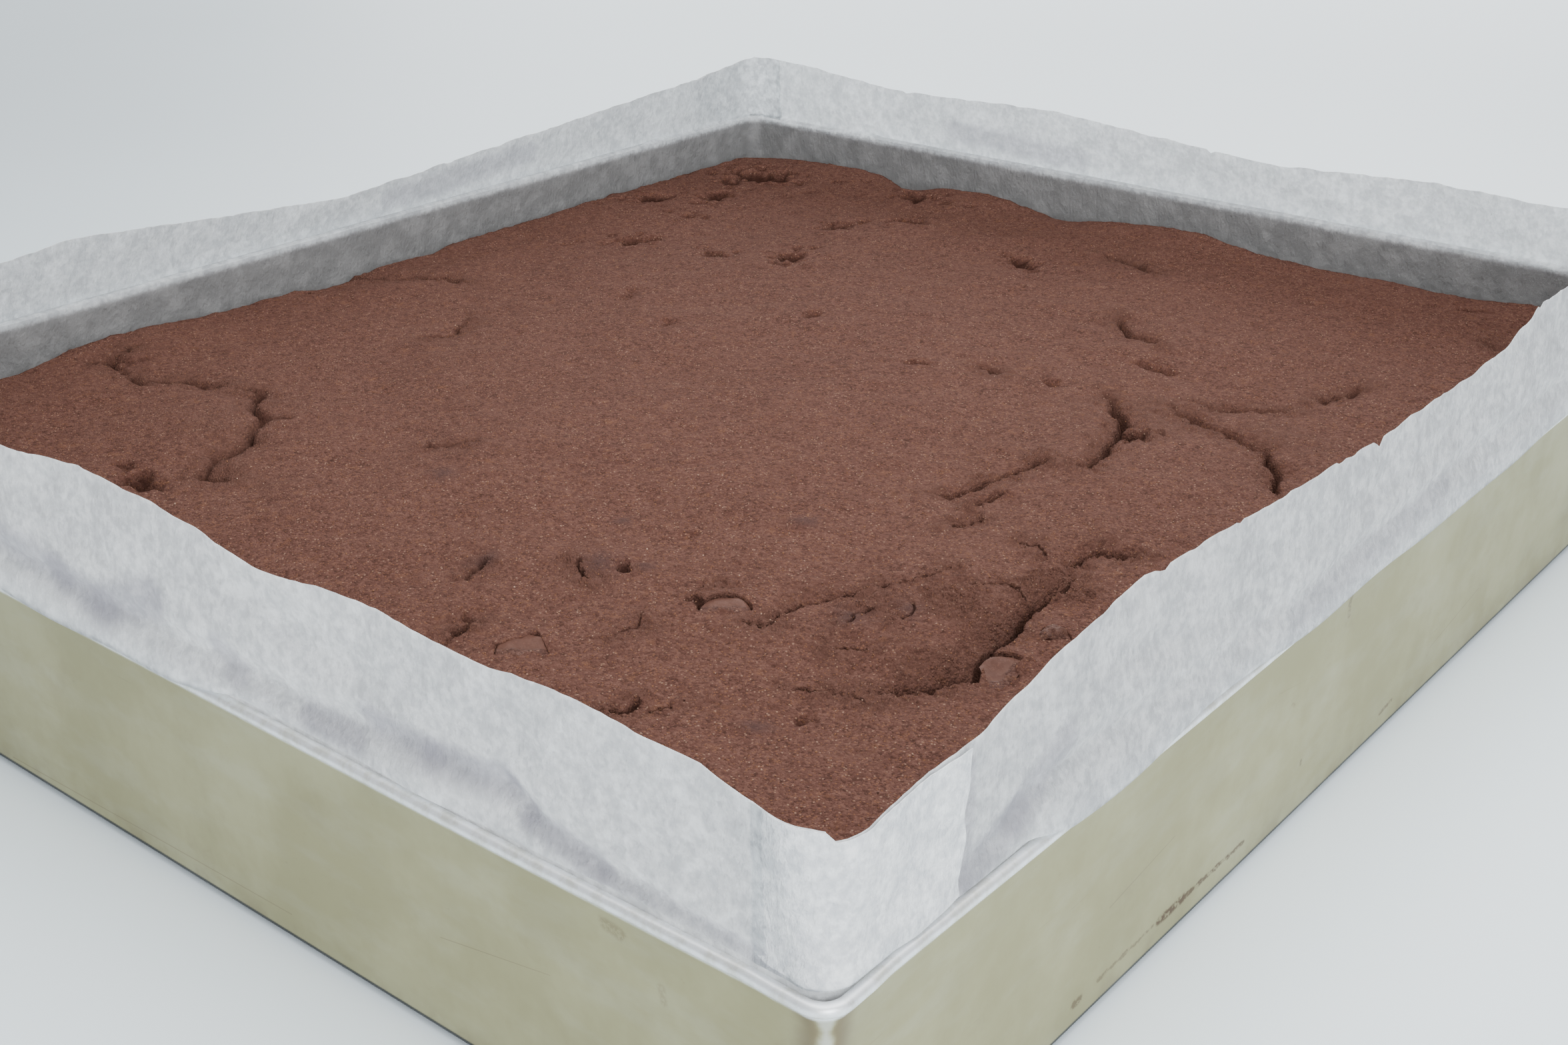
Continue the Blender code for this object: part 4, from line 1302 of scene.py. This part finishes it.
@dataclass
class CakeTop:
    """Height of the cake's uneven, cracked top, and what the crumb is like from place to place.

    Attributes:
        edge_z: height of the top at the walls, before it rolls over.
        dome: how much higher the middle is.
        valley: half width of the shallow valley in which every crack lies.
        valley_depth: its greatest depth.
        uneven: height and size in millimetres of the top's slow unevenness, and the noise's layer.
        lumpy: height and size in millimetres of the lumps where the crumb is broken up, and the layer.
        pit_stretch: how much longer than round a pit is.
        crack_reach: distance from a crack past which it has no effect.
        coarsest: the widest mesh spacing.
        focus: the part near the front corner that shows best.
        chips: the bare chips, which lie in pockets.
    """

    edge_z: float = 36 * MM
    dome: float = 3 * MM
    valley: float = 5 * MM
    valley_depth: float = 1.2 * MM
    uneven: tuple[tuple[float, float, float], ...] = ((1.3, 42, 0.0), (0.6, 17, 100 / 17), (0.55, 7, 12.0))
    lumpy: tuple[tuple[float, float, float], ...] = ((2.0, 3.0, 22.0), (1.1, 1.4, 32.0))
    pit_stretch: float = 1.35
    crack_reach: float = 12 * MM
    coarsest: float = 2.4 * MM
    focus: Place = (0.095, -0.095)
    chips: list["Chip"] = field(default_factory=list)

    def from_focus(self, points: Array) -> Array:
        """Distance from the focus."""
        return np.hypot(points[:, 0] - self.focus[0], points[:, 1] - self.focus[1])

    def strays(self, points: Array) -> Array:
        """How far places are nudged about, so that cracks get ragged lips."""
        shift = np.zeros_like(points)
        for size, reach, layer in ((9, 1.9, 1.0), (3.1, 0.9, 4.0), (1.2, 0.3, 8.0)):
            for axis in (0, 1):
                shift[:, axis] += reach * MM * wobble(points, size * MM, layer + 20.0 * axis)
        return shift

    def cracks(self, points: Array) -> tuple[Array, Array, Array, Array]:
        """How deep the cracks cut.

        Args:
            points: rows of x and y.

        Returns:
            Depth of the groove, how much painted shade falls in it (full in the sheer cut, less up the rolled
            banks), and the distances to the nearest cut and bank.
        """
        strays = self.strays(points)
        vary = wobble(points, 5 * MM, 15.0)
        groove, sheer = np.zeros((2, len(points)))
        to_cut, to_bank = np.ones((2, len(points)))
        for crack in CRACKS:
            here = points + crack.ragged * strays
            path = np.array(crack.path) * MM
            low, high = path.min(0) - self.crack_reach, path.max(0) + self.crack_reach
            near = np.flatnonzero(((here > low) & (here < high)).all(axis=1))
            if not len(near):
                continue
            distance, share, side = along_path(here[near], path)
            taper = ease(-0.03, 0.14, share) * ease(1.03, 0.86, share)
            half = crack.cut * taper * (1.0 + 0.9 * crack.ragged * vary[near])
            bank = crack.banks(side) * (0.6 + 0.4 * taper)
            climb = np.clip(1.0 - (distance - half) / bank, 0.0, 1.0)
            rolled = 1.0 - np.sqrt(1.0 - 0.97 * climb**2)
            wall = ease(0.14 * MM, -0.14 * MM, distance - half)
            valley = min(self.valley_depth, 0.3 * crack.depth * MM)
            drop = crack.depth * MM - valley
            cut = taper * (valley * bell(distance, self.valley) + drop * (0.4 * rolled + 0.6 * wall))
            groove[near] = np.maximum(groove[near], cut)
            # painted shade: full in the sheer cut and most of the way up the rolled banks
            sheer[near] = np.maximum(sheer[near], np.maximum(wall, 0.62 * rolled) * taper)
            to_cut[near] = np.minimum(to_cut[near], distance - half)
            to_bank[near] = np.minimum(to_bank[near], distance - half - bank)
        return groove, sheer, to_cut, to_bank

    def pits(self, points: Array) -> Array:
        """How far into a pit each place is, and the depth there: ragged holes, each drawn out its own way."""
        ragged = 1.0 + 1.1 * wobble(points, 3.2 * MM, 33.0) + 0.5 * wobble(points, 1.2 * MM, 35.0)
        depth = np.zeros(len(points))
        for index, spot in enumerate(PITS):
            near = np.flatnonzero(spot.away(points) < 3 * spot.radius * MM)
            turn = TURN_STEP * index
            off = points[near] - (spot.x * MM, spot.y * MM)
            along = off @ (math.cos(turn), math.sin(turn)) / self.pit_stretch
            across = off @ (-math.sin(turn), math.cos(turn)) * self.pit_stretch
            reach = np.hypot(along, across) / (0.75 * spot.radius * MM) * ragged[near]
            depth[near] = np.maximum(depth[near], 0.8 * spot.height * MM * np.exp(-2 * np.abs(reach) ** 2.6))
        return depth

    def broken(self, points: Array, to_bank: Array) -> Array:
        """How broken up the top is: beside cracks and in crumbly patches most."""
        broken = 0.22 + 0.6 * bell(np.maximum(to_bank, 0.0), 3.5 * MM)
        for spot in CRUMBLY:
            broken = np.maximum(broken, spot.height * bell(spot.away(points), spot.radius * MM))
        return np.clip(broken * (1.0 + 1.2 * wobble(points, 9 * MM, 61.0)), 0.0, 1.0)

    def relief(self, points: Array) -> dict[str, Array]:
        """Height and character of the top.

        Args:
            points: rows of x and y.

        Returns:
            Arrays named z, cleft_shade (painted shade in clefts), bare and crumbly.
        """
        x, y = points.T
        dome = np.maximum((1 - (x / TIN_HALF.x) ** 2) * (1 - (y / TIN_HALF.y) ** 2), 0.0)
        z = self.edge_z + self.dome * dome**0.6
        for height, size, layer in self.uneven:
            z += height * MM * wobble(points, size * MM, layer)
        for spot in SWELLS:
            z += spot.height * MM * bell(spot.away(points), spot.radius * MM)
        groove, sheer, _, to_bank = self.cracks(points)
        crumbly = self.broken(points, to_bank)
        bare = np.zeros(len(points))
        for spot in BUMPS:
            off = spot.away(points) * (1.0 + 0.6 * wobble(points, 4 * MM, 41.0))
            z += spot.height * MM * bell(off, spot.radius * MM)
            bare = np.maximum(bare, bell(off, 0.8 * spot.radius * MM))

        # rounded lumps with sharp creases between them
        lumps = sum(height * np.abs(wobble(points, size * MM, layer)) for height, size, layer in self.lumpy)
        fine = np.abs(wobble(points, 0.8 * MM, 42.0))
        z += MM * ((lumps - 0.5) * crumbly + 0.45 * fine * (0.4 + crumbly)) * (1.0 - 0.8 * bare)
        pit = self.pits(points)
        z -= groove + pit
        # painted shade in the cracks and the pits
        cleft_shade = np.clip(np.maximum(sheer, ease(0.3 * MM, 2.5 * MM, pit)), 0, 1)
        for chip in self.chips:
            chip.pocket(points, z, cleft_shade)
        return {"z": z, "cleft_shade": cleft_shade, "bare": bare, "crumbly": crumbly}

    def fineness(self, points: Array) -> Array:
        """The mesh spacing that each place wants."""
        _, _, to_cut, to_bank = self.cracks(points)
        focus = self.from_focus(points)
        want = np.full(len(points), self.coarsest)
        rules = [(focus < 100 * MM, 1.2), (to_bank < 3.5 * MM, 1.2), (focus < 39 * MM, 0.6),
                 ((to_bank < 1.5 * MM) & (focus < 140 * MM), 0.6), ((to_bank < 0) & (focus < 66 * MM), 0.3),
                 ((np.abs(to_cut) < 0.35 * MM) & (focus < 60 * MM), 0.15)]
        for spot in PITS + BUMPS:
            close = spot.away(points) < 1.3 * spot.radius * MM
            rules += [(close, 1.2), (close & (focus < 90 * MM), 0.6)]
        rules += [((spot.away(points) < 0.8 * spot.radius * MM) & (focus < 56 * MM), 0.3) for spot in CRUMBLY]
        for chip in self.chips:
            over, _ = chip.beyond(points)
            rules += [(np.abs(over) < 1.5 * MM, 0.3), (np.abs(over) < 0.5 * MM, 0.15)]
        for here, spacing in rules:
            want[here] = np.minimum(want[here], spacing * MM)
        return want


@dataclass(frozen=True)
class Cut:
    """Where crumb covers a chip: past a straight line across its face.

    Attributes:
        degrees: direction of the line's normal, from 0 on the chip's right to 90 at its back.
        reach: distance from the chip's middle in millimetres.
        gap: width in millimetres of the slot left open along the line.
    """

    degrees: float
    reach: float
    gap: float = 0.0

    @property
    def normal(self) -> Place:
        """The line's normal in the chip's own frame."""
        return (math.cos(math.radians(self.degrees)), math.sin(math.radians(self.degrees)))


# Profile of a drop as shares of its radius and thickness, from its tip up and round onto its flat face
DROP = ((0.0, -1.0), (0.3, -0.96), (0.58, -0.8), (0.8, -0.58), (0.93, -0.36), (0.99, -0.18), (0.99, -0.08),
        (0.965, -0.03), (0.92, -0.005), (0.8, 0.0), (0.6, 0.01), (0.4, 0.0), (0.2, -0.01), (0.0, -0.01))
UNDER_CRUMB = 0.8                   # how far in millimetres a chip goes on past a cut, under the crumb


@dataclass
class Chip:
    """A bare chocolate chip: a drop lying in its pocket with its flat face up, partly under crumb.

    Attributes:
        number: which of the solid model's chips it is.
        x: its middle, in metres.
        y: its middle, in metres.
        diameter: across the flat face.
        thickness: from the flat face to the tip.
        lean: how far the face tips up at the back, in degrees.
        cuts: the lines past which crumb covers it.
        back_gap: width in millimetres of the slot round its back.
        brow: height in millimetres of the crumb behind it over its face.
        wrinkle: height in millimetres of the waves in its face.
        dusted: how far loose crumb covers the whole face.
        turn: direction of its right-hand side from +X, in degrees.
        steps: sides of the round.
    """

    number: int
    x: float
    y: float
    diameter: float
    thickness: float
    lean: float
    cuts: tuple[Cut, ...] = ()
    back_gap: float = 0.5
    brow: float = 0.7
    wrinkle: float = 0.4
    dusted: float = 0.0
    turn: float = 39.0
    steps: int = 48

    @property
    def radius(self) -> float:
        """Half the diameter."""
        return self.diameter / 2

    @property
    def node(self) -> str:
        """Name of the solid model's node that the chip stands for."""
        return f"chocolate_chip_{self.number}"

    def behind(self, own: Array) -> tuple[Array, Array]:
        """Distance from the chip's middle, and how far round to its back: from -1 in front to 1 behind."""
        away = np.hypot(*own.T)
        return away, own[:, 1] / np.maximum(away, MICRON)

    @property
    def level(self) -> float:
        """Height of the flat face's middle, from the solid."""
        _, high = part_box(self.node)
        lean = math.radians(self.lean)
        shoulder = self.radius * math.sin(lean) - 0.16 * self.thickness * math.cos(lean)
        return high.z - max(0.9 * self.radius * math.sin(lean), shoulder)

    def matrix(self) -> Matrix:
        """Seat of the chip in the cake."""
        turn = Matrix.Rotation(math.radians(self.turn), 4, "Z")
        lean = Matrix.Rotation(math.radians(self.lean), 4, "X")
        return Matrix.Translation((self.x, self.y, self.level)) @ (turn @ lean)

    def own(self, points: Array) -> Array:
        """Places in the chip's own frame: to its right and to its back."""
        turn = math.radians(self.turn)
        off = points - (self.x, self.y)
        return off @ np.array(((math.cos(turn), -math.sin(turn)), (math.sin(turn), math.cos(turn))))

    def beyond(self, points: Array) -> tuple[Array, Array]:
        """How far outside the chip's bare part places lie, and how wide a slot is left open there."""
        own = self.own(points)
        away, behind = self.behind(own)
        over = away - self.radius
        gap = self.back_gap * MM * ease(-0.2, 0.7, behind)
        ragged = MM * (1.1 * wobble(points, 3 * MM, 54.0) + 0.5 * wobble(points, 1.2 * MM, 56.0))
        for cut in self.cuts:
            past = own @ cut.normal - cut.reach * MM + (0.2 if cut.gap else 1.0) * ragged
            gap = np.where(past > over, cut.gap * MM, gap)
            over = np.maximum(past, over)
        return over, gap

    def pocket(self, points: Array, z: Array, cleft_shade: Array) -> None:
        """Open a pocket for the chip in the cake's top.

        Args:
            points: rows of x and y.
            z: height of the top there, which is changed.
            cleft_shade: how much painted shade falls there, deepest in clefts, which is changed.
        """
        near = np.flatnonzero(np.hypot(points[:, 0] - self.x, points[:, 1] - self.y) < 2.4 * self.radius)
        if not len(near):
            return
        here = points[near]
        own = self.own(here)
        away, behind = self.behind(own)
        over, gap = self.beyond(here)
        gap = gap * (1.0 + 1.3 * wobble(here, 2.4 * MM, 50.0))
        gap += 0.15 * MM * np.abs(wobble(here, 1.1 * MM, 52.0))
        plane = self.level + own[:, 1] * math.tan(math.radians(self.lean))
        top = plane + (0.2 + self.brow * ease(-0.2, 0.8, behind)) * MM
        blend = ease(5 * MM, 0.5 * MM, over)
        z[near] += 0.8 * (top - z[near]) * blend
        hollow = np.sqrt(np.clip(1 - (away / (1.05 * self.radius + gap)) ** 2, 0, 1))
        bowl = 0.9 * self.thickness * hollow + 0.9 * MM
        inside = ease(0.1 * MM, -0.1 * MM, over - gap)
        z[near] -= inside * np.maximum(z[near] - (plane - bowl), 0.0)
        # painted shade inside the pocket round the chip
        cleft_shade[near] = np.maximum(cleft_shade[near], inside)

    def build(self) -> bmesh.types.BMesh:
        """Spin the drop's profile, cut off what crumb covers and let the face undulate."""
        bm = bmesh.new()
        verts = [bm.verts.new((self.radius * r, 0, self.thickness * z)) for r, z in DROP]
        edges = [bm.edges.new(pair) for pair in zip(verts, verts[1:])]
        bmesh.ops.spin(bm, geom=verts + edges, cent=(0, 0, 0), axis=(0, 0, 1), angle=math.tau,
                       steps=self.steps, use_merge=True, use_duplicate=False)
        bmesh.ops.remove_doubles(bm, verts=bm.verts, dist=0.01 * MM)
        for cut in self.cuts:
            normal = Vector((*cut.normal, 0.0))
            edge = (cut.reach + UNDER_CRUMB) * MM * normal
            bmesh.ops.bisect_plane(bm, geom=[*bm.verts, *bm.edges, *bm.faces], plane_co=edge, plane_no=normal,
                                   clear_outer=True)
            bmesh.ops.holes_fill(bm, edges=[edge for edge in bm.edges if edge.is_boundary])
        bmesh.ops.recalc_face_normals(bm, faces=bm.faces)
        self.dust(bm)
        bmesh.ops.transform(bm, matrix=self.matrix(), verts=bm.verts)
        rows = np.array([vert.co for vert in bm.verts])
        rise = wobble(rows, 4 * MM, float(self.number)) + 0.45 * wobble(rows, 1.5 * MM, 9.0)
        for vert, nudge in zip(bm.verts, (self.wrinkle * MM * rise).tolist()):
            vert.co.z += nudge
        return bm

    def dust(self, bm: bmesh.types.BMesh) -> None:
        """Note how far crumbs cover each vertex: more and more towards the closed cuts."""
        layer = bm.verts.layers.float.new("dusted")
        for vert in bm.verts:
            cover = self.dusted
            for cut in self.cuts:
                if not cut.gap:
                    past = vert.co.x * cut.normal[0] + vert.co.y * cut.normal[1] - cut.reach * MM
                    cover = max(cover, ease(-2.6 * MM, -0.2 * MM, past))
            vert[layer] = cover

    def dress(self, material: bpy.types.Material) -> None:
        """Make the chip's piece."""
        mesh = to_mesh(f"chip_{self.number}", self.build())
        make_piece(mesh, material, self.node, sharp=50.0)


def bare_chips() -> list[Chip]:
    """The chips that lie bare, in the solid model's places."""
    return [
        Chip(1, 74 * MM, -105 * MM, 11.0 * MM, 5.0 * MM, 10,
             (Cut(-90, -0.4), Cut(197, 4.1, 0.7)), back_gap=0.22, brow=0.4),
        Chip(2, 129.7 * MM, -87.3 * MM, 11.0 * MM, 5.5 * MM, 16,
             (Cut(-90, 3.2), Cut(192, 3.4, 0.15), Cut(-30, 1.5)), back_gap=0.25, brow=0.35),
        Chip(3, 52.4 * MM, -140.5 * MM, 11.0 * MM, 5.0 * MM, 14,
             (Cut(116, 3.5, 0.25), Cut(24, 4.3, 0.08), Cut(-90, 0.8)), back_gap=0.0, brow=0.25),
        Chip(4, 130 * MM, -70 * MM, 6.5 * MM, 4.0 * MM, 12,
             (Cut(-90, 0.2, 0.35), Cut(180, 2.2, 0.2)), back_gap=0.0, brow=0.1, wrinkle=1.3, dusted=0.55),
    ]


@dataclass
class Cake:
    """The uncut slab of cake."""

    half_x: float = TIN_HALF.x - RIM_PROUD - SHEET - PAPER - 2 * GAP
    half_y: float = TIN_HALF.y - RIM_PROUD - SHEET - PAPER - 2 * GAP
    floor: float = SHEET + PAPER + 2 * GAP
    foot: float = 3 * MM
    brow: float = 4.5 * MM
    corner_radius: float = 9 * MM
    base_pitch: float = 2.4 * MM
    levels: int = 4
    pull: float = 2.2 * MM
    side_rings: tuple[tuple[float, float], ...] = ((0.6 * MM, 20 * MM), (0.0, floor + foot), (foot, floor))
    chips: list[Chip] = field(default_factory=bare_chips)
    finish: CrumbFinish = field(default_factory=CrumbFinish)

    @property
    def outline(self) -> RoundedOutline:
        """The slab's outline."""
        return RoundedOutline(self.half_x, self.half_y, self.corner_radius)

    def grid(self, top: CakeTop) -> bmesh.types.BMesh:
        """A flat grid that is divided finer near cracks, pits, chips and the rim of the slab."""
        bm = bmesh.new()
        bmesh.ops.create_grid(bm, x_segments=round(2 * self.half_x / self.base_pitch),
                              y_segments=round(2 * self.half_y / self.base_pitch), size=1.0)
        bmesh.ops.scale(bm, vec=(self.half_x, self.half_y, 1), verts=bm.verts)
        for level in range(self.levels):
            pitch = self.base_pitch / 2**level
            faces = list(bm.faces)
            middles = np.array([face.calc_center_median().xy for face in faces])
            want = top.fineness(middles)
            want[(self.outline.inside(middles) < 5 * MM) & (want > 1.2 * MM)] = 1.2 * MM
            sizes = np.sqrt([face.calc_area() for face in faces])
            chosen = np.flatnonzero((want < 0.75 * pitch) & (sizes > 0.6 * pitch))
            edges = {edge for index in chosen for edge in faces[index].edges}
            bmesh.ops.subdivide_edges(bm, edges=list(edges), cuts=1, use_grid_fill=True, use_single_edge=True)
        return bm

    def round_corners(self, points: Array) -> Array:
        """Bring the grid's square corners onto the rounded outline."""
        radius = self.corner_radius
        room = self.outline.room(radius)
        over = (np.abs(points) - room) / radius
        here = (over > 0).all(axis=1)
        u, v = over[here].T
        bent = np.column_stack((u * np.sqrt(1 - v**2 / 2), v * np.sqrt(1 - u**2 / 2)))
        rounded = points.copy()
        rounded[here] = np.sign(points[here]) * (room + radius * bent)
        return rounded

    def shape_top(self, bm: bmesh.types.BMesh, top: CakeTop) -> dict[str, Array]:
        """Lift the grid to the cake's top and round its rim over."""
        flat = self.round_corners(np.array([vert.co.xy for vert in bm.verts]))
        inside = np.maximum(self.outline.inside(flat), 0.0)
        normals = self.outline.normals(flat)
        lobes = 0.5 + 1.1 * wobble(flat, 21 * MM, 17.0) + 0.5 * wobble(flat, 8 * MM, 27.0)
        pulled = self.pull * np.clip(lobes, 0, 1.4) * ease(11 * MM, 0.0, inside)
        flat = flat - pulled[:, None] * normals
        relief = top.relief(flat)
        t = np.clip(1 - inside / self.brow, 0, 1)
        drop = self.brow * (1 - np.sqrt(1 - 0.98 * t**2))
        move_verts(bm.verts, flat, relief["z"] - drop)
        # painted shade where the top rolls over at the slab's rim
        relief["cleft_shade"] = np.maximum(relief["cleft_shade"], 0.5 * t**2)
        return relief

    def build(self, top: CakeTop) -> bmesh.types.BMesh:
        """Make the slab: its top, then its sides down to the lining and its base."""
        bm = self.grid(top)
        relief = self.shape_top(bm, top)
        for name in ("cleft_shade", "bare", "crumbly"):
            layer = bm.verts.layers.float.new(name)
            for vert, value in zip(bm.verts, relief[name].tolist()):
                vert[layer] = value
        rim = [edge for edge in bm.edges if edge.is_boundary]
        for inset, height in self.side_rings:
            rim, verts = raise_rim(bm, rim)
            places = np.array([vert.co.xy for vert in verts])
            shift = self.outline.inside(places) - inset
            move_verts(verts, places + shift[:, None] * self.outline.normals(places), height)
        bmesh.ops.holes_fill(bm, edges=rim)
        bmesh.ops.recalc_face_normals(bm, faces=bm.faces)
        return bm

    def dress(self) -> CakeTop:
        """Make the cake's piece and its chips.

        Returns:
            The shape of the top, for the grains that lie on it.
        """
        top = CakeTop(chips=self.chips)
        make_piece(to_mesh("cake_crumb", self.build(top)), self.finish.material(), "cake")
        chocolate = ChocolateFinish().material()
        for chip in self.chips:
            chip.dress(chocolate)
        return top


@dataclass
class LooseGrains:
    """Loose crumb and sugar grains strewn over the top, most of them round the cracks near the front."""

    count: int = 9000
    seed: int = 11
    smallest: float = 0.09 * MM
    largest: float = 0.26 * MM
    tries_each: int = 6
    off_walls: float = 14 * MM
    finish: GrainFinish = field(default_factory=GrainFinish)

    def grain(self) -> tuple[Array, Array]:
        """One round grain of a few faces, as corners and triangles."""
        bm = bmesh.new()
        bmesh.ops.create_icosphere(bm, subdivisions=1, radius=1.0)
        corners = np.array([vert.co for vert in bm.verts])
        faces = np.array([[vert.index for vert in face.verts] for face in bm.faces])
        bm.free()
        return corners, faces

    def places(self, rng: np.random.Generator, top: CakeTop) -> Array:
        """Where the grains lie: everywhere, but thickest at the front and beside cracks."""
        tries = self.count * self.tries_each
        reach = np.array((TIN_HALF.x, TIN_HALF.y)) - self.off_walls
        spots = rng.uniform(-reach, reach, (tries, 2))
        _, _, _, to_bank = top.cracks(spots)
        broken = top.broken(spots, to_bank)
        focus = top.from_focus(spots)
        chance = 0.04 + 0.2 * bell(focus, 120 * MM) + 0.9 * broken**1.5 * bell(focus, 150 * MM)
        kept = spots[rng.random(tries) < chance]
        for chip in top.chips:
            kept = kept[np.hypot(kept[:, 0] - chip.x, kept[:, 1] - chip.y) > 1.1 * chip.radius]
        return kept[: self.count]

    def dress(self, top: CakeTop) -> None:
        """Make the grains' piece."""
        rng = np.random.default_rng(self.seed)
        corners, faces = self.grain()
        spots = self.places(rng, top)
        heights = top.relief(spots)["z"]
        count = len(spots)
        radii = self.smallest + (self.largest - self.smallest) * rng.random(count) ** 3
        turns = rng.normal(size=(count, 4))
        turns /= np.linalg.norm(turns, axis=1)[:, None]
        w, x, y, z = turns.T
        axes = np.array([
            [1 - 2 * (y * y + z * z), 2 * (x * y - z * w), 2 * (x * z + y * w)],
            [2 * (x * y + z * w), 1 - 2 * (x * x + z * z), 2 * (y * z - x * w)],
            [2 * (x * z - y * w), 2 * (y * z + x * w), 1 - 2 * (x * x + y * y)]]).transpose(2, 0, 1)
        stretch = radii[:, None] * rng.uniform(0.6, 1.15, (count, 3))
        lumpy = corners[None] * stretch[:, None, :] * rng.uniform(0.8, 1.15, (count, len(corners), 1))
        shapes = np.einsum("nij,nkj->nki", axes, lumpy)
        seats = np.column_stack((spots, heights + 0.15 * radii))
        rows = (shapes + seats[:, None, :]).reshape(-1, 3)
        loops = (faces[None] + (np.arange(count) * len(corners))[:, None, None]).reshape(-1, 3)
        mesh = bpy.data.meshes.new("loose_grains")
        mesh.from_pydata(rows.tolist(), [], loops.tolist())
        tone = mesh.attributes.new("tone", "FLOAT", "POINT")
        tone.data.foreach_set("value", np.repeat(rng.random(count), len(corners)).astype(np.float32))
        make_piece(mesh, self.finish.material())


@dataclass(frozen=True)
class Softbox:
    """A soft light that faces the cake."""

    name: str
    place: Point
    size: tuple[float, float]
    power: float
    colour: Colour
    target: Point = (0.0, 0.0, 0.03)

    def hang(self) -> None:
        """Put the light in the scene."""
        data = bpy.data.lights.new(self.name, "AREA")
        data.shape = "RECTANGLE"
        data.size, data.size_y = self.size
        data.energy = self.power
        data.color = self.colour
        made = into_scene(self.name, data)
        made.location = self.place
        made.rotation_euler = (Vector(self.target) - Vector(self.place)).to_track_quat("-Z", "Y").to_euler()


@dataclass
class Studio:
    """Pale table, soft light and the camera."""

    table_size: float = 6.0
    camera_place: tuple[float, float, float] = (0.3021, -0.3650, 0.2200)
    yaw: float = 39.28
    pitch: float = 24.98
    roll: float = -0.11
    lens: float = 44.36
    ambient: Colour = (0.60, 0.62, 0.645)
    ambient_strength: float = 0.48
    lights: tuple[Softbox, ...] = (
        Softbox("overhead", (0.12, -0.07, 0.48), (0.6, 0.6), 5.2, (1.0, 0.99, 0.98)),
        Softbox("back_window", (-0.9, 2.0, 0.85), (2.6, 1.0), 82.0, (0.97, 0.99, 1.0)),
        Softbox("front_window", (0.98, -0.75, 0.42), (1.0, 0.6), 18.0, (0.98, 0.99, 1.0)),
    )

    def table(self) -> None:
        """Lay the table."""
        bm = bmesh.new()
        bmesh.ops.create_grid(bm, x_segments=8, y_segments=8, size=self.table_size / 2)
        mesh = to_mesh("table_top", bm)
        mesh.materials.append(TableFinish().material())
        into_scene("table_top", mesh)

    def light(self) -> None:
        """Soft surroundings, a broad overhead light, a window behind and a low one in front."""
        world = bpy.data.worlds.new("soft_room")
        world.use_nodes = True
        background = world.node_tree.nodes["Background"]
        background.inputs["Color"].default_value = (*self.ambient, 1)
        background.inputs["Strength"].default_value = self.ambient_strength
        bpy.context.scene.world = world
        for softbox in self.lights:
            softbox.hang()

    def camera(self) -> None:
        """Set the camera."""
        data = bpy.data.cameras.new("camera")
        data.lens = self.lens
        data.sensor_width = 36.0
        data.clip_start = 0.01
        made = into_scene("camera", data)
        turn = Matrix.Rotation(math.radians(self.yaw), 4, "Z")
        tilt = Matrix.Rotation(math.radians(90.0 - self.pitch), 4, "X")
        roll = Matrix.Rotation(math.radians(self.roll), 4, "Z")
        made.matrix_world = Matrix.Translation(self.camera_place) @ turn @ tilt @ roll
        bpy.context.scene.camera = made

    def build(self) -> None:
        """Set the whole stage."""
        self.table()
        self.light()
        self.camera()


def main() -> None:
    """Build every piece in turn and set the stage."""
    logging.basicConfig(level=logging.INFO, format="%(name)s %(message)s")
    Studio().build()
    Tin().dress()
    Parchment().dress()
    top = Cake().dress()
    LooseGrains().dress(top)


if __name__ == "__main__":
    main()
